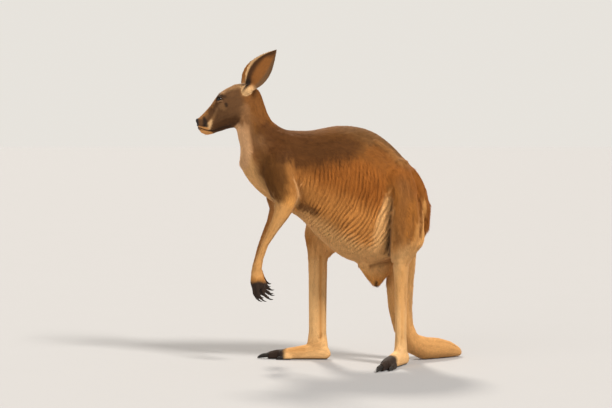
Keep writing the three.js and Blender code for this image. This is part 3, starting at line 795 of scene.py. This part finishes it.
def flesh_nodes():
    return [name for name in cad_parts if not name.startswith("eye_") and "claw" not in name]


def clay_mesh(voxel):
    """All the flesh as one closed mesh."""
    clay = bmesh.new()
    for name in flesh_nodes():
        add_solid(clay, name, OVERLAP)
    for centre in (centre_of("eye_left"), centre_of("eye_right")):
        bmesh.ops.create_icosphere(clay, subdivisions=3, radius=(EYE_RADIUS + 0.8) * MM,
                                   matrix=Matrix.Translation(centre))
    thing = add_object("clay", mesh_from(clay, "clay"))
    remesh = thing.modifiers.new("one_shell", "REMESH")
    remesh.mode = "VOXEL"
    remesh.voxel_size = voxel
    remesh.adaptivity = 0.0
    return baked(thing, "fine_skin")


def refine_head(mesh):
    """Divides the faces round the eyes, nose and mouth, where the small forms are."""
    shape = bmesh.new()
    shape.from_mesh(mesh)
    for reach in (30.0, 21.0):
        close = []
        for face in shape.faces:
            spot = Vector(unplace(face.calc_center_median()))
            eye = min((spot - Vector(EYE_AT[side])).length for side in (1, -1))
            if eye < reach or (spot - Vector(NOSE)).length < reach + 8:
                close.append(face)
        edges = {edge for face in close for edge in face.edges}
        bmesh.ops.subdivide_edges(shape, edges=list(edges), cuts=1, use_grid_fill=True)
    shape.to_mesh(mesh)
    shape.free()


def part_labels(points_m):
    """The index of the flesh node nearest to each vertex."""
    spots, faces, owners = [], [], []
    for name in flesh_nodes():
        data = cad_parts[name].data
        base = len(spots)
        spots.extend(v.co.copy() for v in data.vertices)
        faces.extend([base + i for i in p.vertices] for p in data.polygons)
        owners.extend([PART_NAMES.index(name)] * len(data.polygons))
    tree = BVHTree.FromPolygons(spots, faces)
    return np.array([owners[tree.find_nearest(p)[2]] for p in points_m.tolist()])


def part_values(labels, field):
    return np.array([getattr(part, field) for part in PARTS.values()], float)[labels]


def on_part(labels, name):
    return labels == PART_NAMES.index(name)


def dyed(tint, colour, amount):
    """A tint at each vertex, moved towards a named colour."""
    return tint + (linear(COLOURS[colour]) - tint) * amount[:, None]


def paint_marks(tint, points, wobble, hairy):
    moved = points + wobble * 6.0 + hairy * 3.0
    for colour, strength, soft, stroke, *where in MARKS:
        inner, outer, only = where or (0, 400, 0)
        spots = moved if soft > 12 else points + hairy * min(1.2, soft / 8)
        mask = smoothstep(soft, 0, stroke_distance(spots, stroke))
        if inner:
            mask = mask * smoothstep(inner - 10, inner + 10, np.abs(spots[:, 0]))
        if outer < 400:
            mask = mask * smoothstep(outer + 10, outer - 10, np.abs(spots[:, 0]))
        if only:
            mask = mask * smoothstep(-12, 12, spots[:, 0] * only)
        tint = dyed(tint, colour, mask * strength)
    return tint


def paint_eye(tint, points, side):
    away = points - EYE_AT[side]
    u, w, open_at = lid_spot(away, side)
    close = smoothstep(*LID_FADE, np.linalg.norm(away, axis=1)) * (away @ eye_axes(side)[0] > 0)
    for colour, amount in (
        ("patch", 0.75 * smoothstep(24, 12, np.abs(u + 2)) * smoothstep(4, 0, np.abs(w - 11) - 3)),
        ("lid", 0.4 * smoothstep(15, 8, np.abs(u)) * smoothstep(2.5, 0, np.abs(w + 9.5) - 1)),
        ("black", 0.95 * smoothstep(1.75, 1.25, open_at)),
        ("black", 0.8 * smoothstep(4, 1, np.abs(w + 1 + 0.1 * u))
         * smoothstep(18, 12, np.abs(u - 3))),
    ):
        tint = dyed(tint, colour, amount * close)
    return tint


def paint_ends(tint, bare, points, labels, web, wobble, hairy, side):
    """Blackens one side's hand, toes and sole."""
    hand = smoothstep(10, -12, stroke_distance(points + 3 * wobble + 2 * hairy, HAND_AREA))
    hand = hand * (points[:, 0] * SIGN[side] > 55)
    foot = web.spread(on_part(labels, f"foot_{side}"), 4)
    black_from = TOES_BLACK_FROM[side]
    along = foot_along(points, side) + 8 * wobble[:, 0]
    toes = smoothstep(black_from, black_from + 26, along) * foot
    sole = smoothstep(9, 3, points[:, 2]) * foot
    dark = np.maximum(np.maximum(hand, toes), sole)
    bare = np.maximum(bare, np.maximum(sole, 0.6 * np.maximum(hand, toes)))
    return dyed(tint, "black", dark), bare


def paint_ear(tint, bare, long, points, normals, labels, side):
    ear = on_part(labels, f"ear_{side}").astype(float)
    local = ear_spot(points, side)
    along = local[:, 2] / EAR_LENGTH
    leaf = np.sin(math.pi * np.clip(along, 0, 1) ** 0.92)
    across = local[:, 0] / (53 * leaf + 15 * np.clip(1 - along, 0, 1) ** 5 + 1.5)
    mouth = EAR_TURN @ np.array((0.0, -1.0, 0.0)) * np.array([SIGN[side], 1, 1])
    inside = smoothstep(-0.1, 0.25, normals @ mouth) * ear
    shade = linear(COLOURS["ear_inside"]) * np.ones((len(points), 1))
    for colour, amount in (
        ("ear_band", smoothstep(0.25, 0.6, across)),
        # painted shade inside the cup, just within its front edge
        ("ear_dark", smoothstep(-0.15, -0.5, across + 0.25 * along)),
        ("ear_dark", smoothstep(0.74, 0.92, along - 0.12 * across)),
        ("cream", smoothstep(0.2, 0.05, along) * smoothstep(-0.2, 0.3, across)),
        ("cream", smoothstep(-0.74, -0.86, across)),
    ):
        shade = dyed(shade, colour, amount)
    tint = tint + (shade - tint) * inside[:, None]
    rim = np.maximum(smoothstep(0.9, 0.98, np.abs(across)), smoothstep(0.1, 0.01, along)) * ear
    tint = dyed(tint, "cream", rim * 0.7)
    notch = np.exp(-((along - 0.1) / 0.11) ** 2 - ((across + 0.45) / 0.36) ** 2) * inside
    tint = dyed(tint, "patch", np.clip(notch * 1.7, 0, 1))
    return tint, np.maximum(bare, 0.25 * inside * (1 - rim)), long + rim * 0.7


def paint(points, normals, labels, web):
    """The colour of the coat at each vertex, how bare the skin is there, and how long the hair."""
    tint = np.array([linear(COLOURS[part.colour]) for part in PARTS.values()])[labels]
    tint = web.spread(tint, 40)
    wobble = noise_vectors(points, 26, 4, 5, 6)
    hairy = noise_vectors(points, 6, 7, 8, 9)
    tint = paint_marks(tint, points, wobble, hairy)
    bare = smoothstep(3.5, 0, stroke_distance(points, NOSE_TIP)) * (np.abs(points[:, 0]) < 24)
    long = np.ones(len(points))
    for stroke, soft, amount in LONG_HAIR:
        long = long + amount * smoothstep(soft, 0, stroke_distance(points, stroke))
    for side in (1, -1):
        tint = paint_eye(tint, points, side)
    for side in SIGN:
        tint, bare = paint_ends(tint, bare, points, labels, web, wobble, hairy, side)
        tint, bare, long = paint_ear(tint, bare, long, points, normals, labels, side)
    return np.clip(tint, 0.002, 1), np.clip(bare, 0, 1), long


class Hide:
    """The finished skin at full detail, which the coat grows from."""

    mesh = points = normals = tint = bare = lie = long = labels = None


def round_heels(points, labels):
    """Takes the sharp lower corner off the back of each heel."""
    moved = points.copy()
    for side in SIGN:
        along = foot_along(points, side)
        corner = smoothstep(30, 0, points[:, 2]) ** 2 * smoothstep(36, -4, along)
        corner = corner * on_part(labels, f"foot_{side}")
        moved += corner[:, None] * 13 * np.array(foot_way(side))
    return moved


def smoothed(points, labels, web):
    """The joined flesh with its seams smoothed away, least on the toes and round the eyes."""
    rounds = part_values(labels, "rounds")
    for side in SIGN:
        toes = on_part(labels, f"foot_{side}") & (foot_along(points, side) > 165)
        rounds = np.where(toes, 8, rounds)
    chin = on_part(labels, "head") & (points[:, 2] < 1000) & (points[:, 1] < -470)
    rounds = web.spread(np.where(chin, 60, rounds), 30)
    return web.smooth(points, rounds * smoothstep(8, 30, eye_gap(points)) + 3)


def hair_lie(points, labels, web):
    """The way the hair lies at each vertex: the parts' own ways, merged, with a little wander."""
    lie = np.array([part.lie for part in PARTS.values()], float)[labels]
    flow = smoothstep(900, 780, points[:, 2])[:, None]
    falling = np.array((0, 0.84, -0.54)) * (1 - flow) + np.array((0, 0.16, -0.98)) * flow
    lie = np.where(on_part(labels, "trunk")[:, None], falling, lie)
    return web.spread(lie, 60) + 0.3 * noise_vectors(points, 24, 14, 15, 16)


def build_hide(props):
    mesh = clay_mesh(props.voxel)
    refine_head(mesh)
    web = Web(mesh)
    labels = part_labels(vertices_of(mesh))
    points = round_heels(smoothed(unplace(vertices_of(mesh)), labels, web), labels)
    move_to(mesh, place(points))
    normals = normals_of(mesh)

    trunk = web.spread(on_part(labels, "trunk") | on_part(labels, "thigh_left"), 20)
    ripple = ripple_height(points, trunk) * props.ripple
    height = ripple.copy()
    for shape, rows in ((form_height, FORMS), (groove_height, GROOVES), (fold_height, FOLDS),
                        (form_height, NOSTRILS)):
        for row in rows:
            height += shape(points, *row)
    depth = web.spread(part_values(labels, "depth"), 30)
    points = points + normals * (height - depth * props.depth_share)[:, None]
    points[:, 2] = np.maximum(points[:, 2], SKIN_LOWEST)

    points, lid_edge = open_lids(points)
    points, _ = open_lids(web.smooth(points, lid_edge * 4))
    move_to(mesh, place(points))
    normals = normals_of(mesh)

    tint, bare, long = paint(points, normals, labels, web)
    # painted light and shade on the flank's folds: the tint is lighter on their crests and darker
    # in their troughs
    tint = tint * np.exp(0.34 * np.clip(ripple / props.ripple, -1.9, 1.5))[:, None]
    lie = hair_lie(points, labels, web)
    across = unit(np.cross(normals, lie))
    strand = np.column_stack([dots(points, across), dots(points, np.cross(across, normals)) / 9,
                              np.zeros(len(points))])
    clumps = 0.15 * value_noise(strand, 6, 17) + 0.08 * value_noise(strand, 2.6, 18)
    tint = np.clip(tint * np.exp(clumps)[:, None], 0.002, 1)
    Hide.mesh, Hide.points, Hide.normals, Hide.tint = mesh, points, normals, tint
    Hide.bare, Hide.lie, Hide.long, Hide.labels = bare, lie, long, labels
    write_attribute(mesh, "strand", "FLOAT_VECTOR", strand * MM)
    write_attribute(mesh, "coat_tint", "FLOAT_COLOR", np.column_stack([tint, np.ones(len(tint))]))
    write_attribute(mesh, "bare", "FLOAT", bare)


def thin_out(mesh, target):
    """A copy of the full skin with fewer triangles, kept fine on the head, hands and feet."""
    thing = add_object("thinning", mesh.copy())
    coarse = thing.vertex_groups.new(name="coarse")
    weight = {"head": 0.0, "ear": 0.25, "hand": 0.1, "foot": 0.25}
    for index, name in enumerate(PART_NAMES):
        share = weight.get(name.split("_")[0], 1.0)
        if share:
            coarse.add(np.flatnonzero(Hide.labels == index).tolist(), share, "REPLACE")
    thin = thing.modifiers.new("thin", "DECIMATE")
    thin.ratio = target / (2 * len(mesh.polygons))
    thin.vertex_group = "coarse"
    thin.vertex_group_factor = 1.0
    thin.use_collapse_triangulate = True
    return baked(thing, "skin")


# ---- the coat ----

# piece: parts, side of the body (0 is both), and y from and to
ALL = (-900, 900)
COAT_PIECES = [
    ("coat_face", ("head",), 0, ALL),
    ("coat_ears", ("ear_left", "ear_right"), 0, ALL),
    ("coat_neck", ("neck",), 0, ALL),
    ("coat_chest_left", ("trunk",), 1, (-900, 0)),
    ("coat_flank_left", ("trunk",), 1, (0, 900)),
    ("coat_chest_right", ("trunk",), -1, (-900, 0)),
    ("coat_flank_right", ("trunk",), -1, (0, 900)),
    ("coat_thigh_left", ("thigh_left", "groin"), 0, ALL),
    ("coat_thigh_right", ("thigh_right",), 0, ALL),
    ("coat_tail", ("tail_base", "tail_middle", "tail_tip"), 0, ALL),
    ("coat_arms", ("upper_arm_left", "upper_arm_right", "forearm_left", "forearm_right",
                   "hand_left", "hand_right"), 0, ALL),
    ("coat_legs", ("shank_left", "shank_right", "foot_left", "foot_right"), 0, ALL),
]


class Ground:
    """The triangles of the full skin, which the tufts are rooted in."""

    def __init__(self):
        Hide.mesh.calc_loop_triangles()
        self.corners = read(Hide.mesh.loop_triangles, "vertices", 3, np.int32)
        a, b, c = (Hide.points[self.corners[:, k]] for k in range(3))
        self.areas = np.linalg.norm(np.cross(b - a, c - a), axis=1) / 2
        self.part = Hide.labels[self.corners[:, 0]]
        self.middle = (a + b + c) / 3

    def blend(self, values, faces, shares):
        """The skin's values at spots inside some of its triangles."""
        picked = values[self.corners[faces]]
        return np.einsum("nk,nkd->nd", shares, picked.reshape(len(faces), 3, -1))


def unwrap(mesh):
    """Unwraps a mesh and returns a lookup from points in metres to its map."""
    thing = add_object("unwrap", mesh)
    bpy.context.view_layer.objects.active = thing
    thing.select_set(True)
    bpy.ops.object.mode_set(mode="EDIT")
    bpy.ops.mesh.select_all(action="SELECT")
    bpy.ops.uv.smart_project(angle_limit=math.radians(66), island_margin=0.002)
    bpy.ops.object.mode_set(mode="OBJECT")
    flat = read(mesh.uv_layers.active.data, "uv", 2)
    tree = BVHTree.FromObject(thing, bpy.context.evaluated_depsgraph_get())
    corners = np.array([p.vertices[:3] for p in mesh.polygons])
    loops = np.array([p.loop_indices[:3] for p in mesh.polygons])
    spots = vertices_of(mesh)
    bpy.data.objects.remove(thing)

    def look_up(points_m):
        found = np.array([tree.find_nearest(p)[2] for p in points_m.tolist()])
        a, b, c = (spots[corners[found, k]] for k in range(3))
        ab, ac, ap = b - a, c - a, points_m - a
        d00, d01, d11 = dots(ab, ab), dots(ab, ac), dots(ac, ac)
        d20, d21 = dots(ap, ab), dots(ap, ac)
        scale = np.maximum(d00 * d11 - d01 * d01, 1e-18)
        v = np.clip((d11 * d20 - d01 * d21) / scale, 0, 1)
        w = np.clip((d00 * d21 - d01 * d20) / scale, 0, 1)
        u = np.clip(1 - v - w, 0, 1)
        return sum(share[:, None] * flat[loops[found, k]] for k, share in enumerate((u, v, w)))

    return look_up


# a tuft's vertices, each how far along, across and up, and its triangles
FINE_TUFT = (
    [(0, -0.5, 0), (0, 0.5, 0), (0, 0, 0.4), (1, 0, 0)],
    [(0, 1, 2), (0, 3, 1), (1, 3, 2), (2, 3, 0)],
)
LOCK_TUFT = (
    [(0, -0.45, 0), (0, 0.45, 0), (0, 0, 0.38), (0.5, -0.5, 0), (0.5, 0.5, 0), (0.5, 0, 0.38),
     (1, 0, 0)],
    [(0, 1, 2), (0, 3, 4), (0, 4, 1), (1, 4, 5), (1, 5, 2), (2, 5, 3), (2, 3, 0), (3, 6, 4),
     (4, 6, 5), (5, 6, 3)],
)
# pattern, share of the tufts, and size
TUFTS = ((FINE_TUFT, 0.8, 0.88), (LOCK_TUFT, 0.2, 1.15))
PATCH = 0.003
ROOT_DEPTH = 0.35
EYE_CLEAR = 15.5
SOLE_CLEAR = 5
COAT_LOWEST = 0.3
MOST_TRIANGLES = 200000
UNWRAP_TRIANGLES = 24000
SNOUT = (0, -552, 1010)


def grow_tufts(pattern, roots, normals, lie, length, width, lift):
    """The vertices of one tuft for each root: it rises, then bends back along the body."""
    shape, _ = pattern
    side = np.cross(lie, normals)
    rise = np.radians(lift)
    spots = []
    for along, across, up in shape:
        angle = rise * (1.35 - 0.7 * along)
        reach = (along * length)[:, None]
        way = lie * np.cos(angle)[:, None] + normals * np.sin(angle)[:, None]
        thick = (width * (0.35 + 0.65 * (1 - along)))[:, None]
        spots.append(roots + way * reach + side * across * thick + normals * up * thick)
    return np.stack(spots, axis=1)


def tuft_mesh(name, batches):
    """One mesh from batches of (pattern, vertices, tints, map spots, skin normals, sideways)."""
    spots, tints, alongs, corners, flats, shading = ([] for _ in range(6))
    base = 0
    for (shape, faces), verts, tint, flat, normals, sideways in batches:
        count, size = len(verts), len(shape)
        faces = np.array(faces)
        along, across, up = np.array(shape, float).T
        index = (np.arange(count) * size + base)[:, None, None] + faces[None]
        offset = np.column_stack([0.5 + across * 0.9, along * 0.8 + up * 0.2]) - 0.5
        flat_verts = flat[:, None, :] + offset[None] * PATCH
        lit = normals[:, None, :] + 0.6 * across[None, :, None] * sideways[:, None, :]
        spots.append(verts.reshape(-1, 3))
        tints.append(np.repeat(tint, size, axis=0))
        alongs.append(np.tile(along, count))
        shading.append(lit.reshape(-1, 3))
        corners.append(index.reshape(-1))
        flats.append(flat_verts[:, faces.reshape(-1)].reshape(-1, 2))
        base += count * size
    spots, corners = np.concatenate(spots), np.concatenate(corners)
    mesh = bpy.data.meshes.new(name)
    mesh.vertices.add(len(spots))
    mesh.loops.add(len(corners))
    mesh.loops.foreach_set("vertex_index", corners.astype(np.int32))
    mesh.polygons.add(len(corners) // 3)
    mesh.polygons.foreach_set("loop_start", np.arange(0, len(corners), 3, dtype=np.int32))
    mesh.vertices.foreach_set("co", place(spots).astype(np.float32).ravel())
    mesh.update(calc_edges=True)
    mesh.validate()
    unwrapped = mesh.uv_layers.new(name="OFBake")
    unwrapped.data.foreach_set("uv", np.concatenate(flats).astype(np.float32).ravel())
    tint = np.concatenate(tints)
    write_attribute(mesh, "coat_tint", "FLOAT_COLOR", np.column_stack([tint, np.ones(len(tint))]))
    write_attribute(mesh, "along", "FLOAT", np.concatenate(alongs))
    shade_smooth(mesh)
    mesh.normals_split_custom_set_from_vertices(unit(np.concatenate(shading)).tolist())
    return mesh


def coat_piece(name, parts, side, reach, ground, look_up, props, random):
    batches = []
    x, y = ground.middle[:, 0], ground.middle[:, 1]
    here = ((x * side >= 0) | (side == 0)) & (y >= reach[0]) & (y < reach[1])
    for part in parts:
        kind = PARTS[part]
        faces = np.flatnonzero(on_part(ground.part, part) & here)
        areas = ground.areas[faces]
        total = int(areas.sum() / 100 * kind.density * props.density)
        for pattern, share, size in TUFTS:
            count = int(total * share)
            spots = np.searchsorted(np.cumsum(areas), random.random(count) * areas.sum())
            picked = faces[spots.clip(0, len(faces) - 1)]
            shares = random.dirichlet((1, 1, 1), count)
            roots = ground.blend(Hide.points, picked, shares)
            bare = ground.blend(Hide.bare, picked, shares)[:, 0]
            eyes = eye_gap(roots)
            keep = (random.random(count) > bare * 1.15) & (eyes > EYE_CLEAR)
            keep &= roots[:, 2] > SOLE_CLEAR
            picked, shares, roots, eyes = (a[keep] for a in (picked, shares, roots, eyes))
            count = len(roots)
            normals = unit(ground.blend(Hide.normals, picked, shares))
            lie = ground.blend(Hide.lie, picked, shares) + random.normal(0, 0.14, (count, 3))
            lie = unit(lie - normals * dots(lie, normals)[:, None])
            small = 1.0
            if part == "head":
                nose = np.linalg.norm(roots - np.array(SNOUT), axis=1)
                small = 0.6 * np.minimum(smoothstep(10, 60, eyes), smoothstep(0, 110, nose)) + 0.4
            longer = ground.blend(Hide.long, picked, shares)[:, 0]
            long = kind.length * size * small * longer * random.uniform(0.7, 1.25, count)
            wide = kind.width * size * (0.5 + 0.5 * small) * random.uniform(0.8, 1.2, count)
            rise = kind.lift * random.uniform(0.55, 1.5, count)
            tint = ground.blend(Hide.tint, picked, shares)
            tint = tint * random.uniform(0.86, 1.18, count)[:, None]
            flat = look_up(place(roots))
            roots = roots - normals * ROOT_DEPTH
            verts = grow_tufts(pattern, roots, normals, lie, long, wide, rise)
            verts[:, :, 2] = np.maximum(verts[:, :, 2], COAT_LOWEST)
            batches.append((pattern, verts, tint, flat, normals, np.cross(lie, normals)))
    return tuft_mesh(name, batches)


# the cornea: its reach from the middle in degrees, its height, and the ring where it ends
CORNEA_REACH = 52
CORNEA_RISE = 0.9
CORNEA_RING = 0.74

WHISKER_SEED = 11
# where whiskers grow: the middle, how many on each side, their length, and the way they point
WHISKER_BEDS = [
    ((24, -530, 1016), 14, 42, (0.75, 0.45, -0.3)),
    ((30, -474, 1140), 4, 18, (0.7, 0.1, 0.6)),
    ((52, -440, 1076), 3, 24, (0.85, 0.3, -0.2)),
    ((12, -528, 974), 3, 12, (0.5, 0.3, -0.8)),
]

# lamp: where it stands, the width of the sun in degrees, strength and colour
LAMPS = {
    "key": ((3.6, 3.6, 5.2), 14, 3.3, (1.0, 0.96, 0.89)),
    "fill": ((5.0, -4.4, 2.4), 50, 0.75, (1.0, 0.97, 0.93)),
    "rim": ((-4.0, -1.0, 4.4), 10, 2.6, (1.0, 0.93, 0.82)),
}

CAMERA_AHEAD = 0.0999  # how far ahead of the animal's origin the camera stands

# ---- properties ----


class KangarooSkinProps(bpy.types.PropertyGroup):
    voxel: FloatProperty(
        name="Detail", description="Size of the cells that the flesh is joined in",
        default=0.0026, min=0.001, max=0.01, precision=4, unit="LENGTH")
    ripple: FloatProperty(
        name="Folds", description="Height of the folds of loose skin on the flank, in millimetres",
        default=2.3, min=0, max=4)
    depth_share: FloatProperty(
        name="Skin Depth", description="Depth of the skin in the solids, as a share of the coat's",
        default=1.0, min=0, max=1.5, subtype="FACTOR")
    triangles: IntProperty(
        name="Triangles", description="Triangles kept in the skin", default=188000, min=20000)


class KangarooCoatProps(bpy.types.PropertyGroup):
    density: FloatProperty(
        name="Density", description="Tufts grown, as a share of each part's own density",
        default=1.0, min=0.05, max=2, subtype="FACTOR")
    seed: IntProperty(
        name="Seed", description="Start of the random numbers that place the tufts", default=7)


class KangarooStageProps(bpy.types.PropertyGroup):
    lens: FloatProperty(
        name="Lens", description="Focal length of the camera",
        default=100.8, min=20, unit="CAMERA")
    distance: FloatProperty(
        name="Distance", description="From the camera to the animal's mid-plane",
        default=7.28, min=1, unit="LENGTH")
    height: FloatProperty(
        name="Height", description="Height of the camera above the floor",
        default=0.99, unit="LENGTH")
    pitch: FloatProperty(
        name="Pitch", description="How far the camera looks down", default=math.radians(2.47),
        subtype="ANGLE")
    floor_colour: FloatVectorProperty(
        name="Floor", description="Colour of the floor", default=(0.43, 0.425, 0.43), size=3,
        subtype="COLOR")
    backdrop_colour: FloatVectorProperty(
        name="Backdrop", description="Colour behind the floor", default=(0.80, 0.77, 0.72), size=3,
        subtype="COLOR")


# ---- operators ----


class KANGAROO_OT_skin(bpy.types.Operator):
    """Joins the flesh into one skin with folds, lids, nose and markings"""

    bl_idname = "kangaroo.skin"
    bl_label = "Skin"

    def execute(self, context):
        props = context.scene.kangaroo_skin
        build_hide(props)
        mesh = thin_out(Hide.mesh, props.triangles)
        skin = new_piece("skin", mesh, skin_material())
        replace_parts(skin, *flesh_nodes())
        return {"FINISHED"}


class KANGAROO_OT_coat(bpy.types.Operator):
    """Grows tufts over the skin, following the lie of the coat"""

    bl_idname = "kangaroo.coat"
    bl_label = "Coat"

    def execute(self, context):
        props = context.scene.kangaroo_coat
        random = np.random.default_rng(props.seed)
        ground = Ground()
        look_up = unwrap(thin_out(Hide.mesh, UNWRAP_TRIANGLES))
        material = coat_material()
        for name, parts, side, reach in COAT_PIECES:
            mesh = coat_piece(name, parts, side, reach, ground, look_up, props, random)
            if len(mesh.polygons) >= MOST_TRIANGLES:
                raise RuntimeError(f"{name} has {len(mesh.polygons)} triangles")
            new_piece(name, mesh, material)
        return {"FINISHED"}


class KANGAROO_OT_eyes(bpy.types.Operator):
    """Makes the two eyeballs, each with a raised cornea"""

    bl_idname = "kangaroo.eyes"
    bl_label = "Eyes"

    def execute(self, context):
        material = eye_material()
        for side, sign in SIGN.items():
            out = Vector(eye_axes(sign)[0])
            middle = centre_of(f"eye_{side}")
            ball = bmesh.new()
            turn = out.to_track_quat("Z", "Y").to_matrix().to_4x4()
            bmesh.ops.create_uvsphere(ball, u_segments=56, v_segments=40, radius=EYE_RADIUS * MM,
                                      matrix=Matrix.Translation(middle) @ turn)
            rings = []
            for vert in ball.verts:
                away = vert.co - middle
                edge = away.angle(out) / math.radians(CORNEA_REACH)
                rings.append(min(1.0, edge * CORNEA_RING))
                if edge < 1:
                    vert.co += out * (CORNEA_RISE * MM * (1 - edge * edge))
            mesh = mesh_from(ball, "eyeball")
            write_attribute(mesh, "ring", "FLOAT", rings)
            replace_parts(new_piece(f"eyeball_{side}", mesh, material), f"eye_{side}")
        return {"FINISHED"}


class KANGAROO_OT_claws(bpy.types.Operator):
    """Rounds the claws of the hands and feet"""

    bl_idname = "kangaroo.claws"
    bl_label = "Claws"

    def execute(self, context):
        material = claw_material()
        for limb in ("finger", "toe"):
            for side in SIGN:
                nodes = [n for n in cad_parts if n.startswith(f"{limb}_claw_{side}")]
                self.claw_set(f"{limb}_claws_{side}", nodes, material)
        return {"FINISHED"}

    def claw_set(self, name, nodes, material):
        group = bmesh.new()
        along = group.verts.layers.float.new("along")
        for node in nodes:
            before = len(group.verts)
            add_solid(group, node)
            group.verts.ensure_lookup_table()
            added = group.verts[before:]
            middle = sum((v.co for v in added), Vector()) / len(added)
            tip = max(added, key=lambda v: (v.co - middle).length)
            reach = max((v.co - tip.co).length for v in added)
            for vert in added:
                vert[along] = 1 - (vert.co - tip.co).length / reach
        thing = new_piece(name, mesh_from(group, name), material)
        round_off = thing.modifiers.new("round", "SUBSURF")
        round_off.levels = round_off.render_levels = 2
        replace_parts(thing, *nodes)


class KANGAROO_OT_whiskers(bpy.types.Operator):
    """Sets the whiskers of the muzzle and brow"""

    bl_idname = "kangaroo.whiskers"
    bl_label = "Whiskers"

    def execute(self, context):
        random = np.random.default_rng(WHISKER_SEED)
        hairs = bmesh.new()
        along = hairs.verts.layers.float.new("along")
        tree = BVHTree.FromPolygons(place(Hide.points).tolist(),
                                    [list(p.vertices) for p in Hide.mesh.polygons])
        for spot, count, length, way in WHISKER_BEDS:
            for side in (1, -1):
                for _ in range(count):
                    start = np.array(spot, float) + random.normal(0, 5, 3)
                    start[0] *= side
                    root = unplace(tree.find_nearest(Vector(place(start)))[0])
                    out = np.array(way) * [side, 1, 1] + random.normal(0, 0.18, 3)
                    self.hair(hairs, along, root, out, length * random.uniform(0.6, 1.15))
        new_piece("whiskers", mesh_from(hairs, "whiskers"), whisker_material())
        return {"FINISHED"}

    def hair(self, hairs, along, root, out, length):
        """A long thin spindle, drooping a little towards its tip."""
        turn = Vector(out).to_track_quat("Z", "Y")
        base = Vector(place(root))
        made = bmesh.ops.create_uvsphere(hairs, u_segments=4, v_segments=8, radius=1.0)
        for vert in made["verts"]:
            share = vert.co.z / 2 + 0.5
            vert[along] = share
            thin = 0.2 * MM * (1 - 0.7 * share)
            local = Vector((vert.co.x * thin, vert.co.y * thin, (share - 0.04) * length * MM))
            vert.co = base + turn @ local - Vector((0, 0, 0.16 * share * share * length * MM))


class KANGAROO_OT_stage(bpy.types.Operator):
    """Sets the floor, the soft lamps and the camera"""

    bl_idname = "kangaroo.stage"
    bl_label = "Stage"

    def execute(self, context):
        props = context.scene.kangaroo_stage
        floor = bmesh.new()
        bmesh.ops.create_grid(floor, x_segments=4, y_segments=4, size=400.0)
        board = Board("pale_floor", Roughness=0.9, Specular_IOR_Level=0.1)
        speckle = board.noise(3.0, 4.0)
        colour = tuple(props.floor_colour)
        board.feed(Base_Color=board.mix(speckle * 0.15, colour, tuple(c * 0.9 for c in colour)))
        thing = add_object("floor", mesh_from(floor, "floor"))
        thing.data.materials.append(board.material)

        world = bpy.data.worlds.new("studio")
        world.use_nodes = True
        self.backdrop(world.node_tree, props)
        context.scene.world = world
        for name, (spot, softness, strength, colour) in LAMPS.items():
            light = bpy.data.lights.new(name, "SUN")
            light.angle, light.energy, light.color = math.radians(softness), strength, colour
            lamp = add_object(name, light)
            lamp.location = Vector(spot)
            lamp.rotation_euler = (-lamp.location).to_track_quat("-Z", "Y").to_euler()

        camera = bpy.data.cameras.new("camera")
        camera.lens = props.lens
        camera.sensor_width = 36
        camera.clip_end = 100
        eye = add_object("camera", camera)
        eye.location = (HOME.x + props.distance, HOME.y - CAMERA_AHEAD, props.height)
        eye.rotation_euler = (math.pi / 2 - props.pitch, 0, math.pi / 2)
        context.scene.camera = eye
        context.scene.view_settings.view_transform = "Standard"
        return {"FINISHED"}

    def backdrop(self, tree, props):
        """Soft light from all round, and a plain pale backdrop where the camera sees past it."""
        light = tree.nodes["Background"]
        light.inputs["Color"].default_value = (1.0, 0.975, 0.94, 1)
        light.inputs["Strength"].default_value = 0.42
        seen = tree.nodes.new("ShaderNodeBackground")
        seen.inputs["Color"].default_value = (*props.backdrop_colour, 1)
        rays = tree.nodes.new("ShaderNodeLightPath")
        both = tree.nodes.new("ShaderNodeMixShader")
        tree.links.new(rays.outputs["Is Camera Ray"], both.inputs[0])
        tree.links.new(light.outputs[0], both.inputs[1])
        tree.links.new(seen.outputs[0], both.inputs[2])
        tree.links.new(both.outputs[0], tree.nodes["World Output"].inputs["Surface"])


class KANGAROO_PT_panel(bpy.types.Panel):
    """Shows the settings and the buttons for the steps that build the kangaroo"""

    bl_idname = "KANGAROO_PT_panel"
    bl_label = "Red Kangaroo"
    bl_space_type = "VIEW_3D"
    bl_region_type = "UI"
    bl_category = "Kangaroo"

    def draw(self, context):
        for group in ("kangaroo_skin", "kangaroo_coat", "kangaroo_stage"):
            props = getattr(context.scene, group)
            for name in props.__annotations__:
                self.layout.prop(props, name)
        for operator in OPERATORS:
            self.layout.operator(operator.bl_idname)


OPERATORS = (
    KANGAROO_OT_stage, KANGAROO_OT_skin, KANGAROO_OT_eyes, KANGAROO_OT_claws, KANGAROO_OT_whiskers,
    KANGAROO_OT_coat,
)
CLASSES = (KangarooSkinProps, KangarooCoatProps, KangarooStageProps, *OPERATORS, KANGAROO_PT_panel)
POINTERS = {
    "kangaroo_skin": KangarooSkinProps,
    "kangaroo_coat": KangarooCoatProps,
    "kangaroo_stage": KangarooStageProps,
}


def register():
    for cls in CLASSES:
        bpy.utils.register_class(cls)
    for name, cls in POINTERS.items():
        setattr(bpy.types.Scene, name, PointerProperty(type=cls))


def unregister():
    for name in POINTERS:
        delattr(bpy.types.Scene, name)
    for cls in reversed(CLASSES):
        bpy.utils.unregister_class(cls)


def main():
    register()
    bpy.ops.kangaroo.stage()
    bpy.ops.kangaroo.skin()
    bpy.ops.kangaroo.eyes()
    bpy.ops.kangaroo.claws()
    bpy.ops.kangaroo.whiskers()
    bpy.ops.kangaroo.coat()
    bpy.data.meshes.remove(Hide.mesh)


if __name__ == "__main__":
    main()
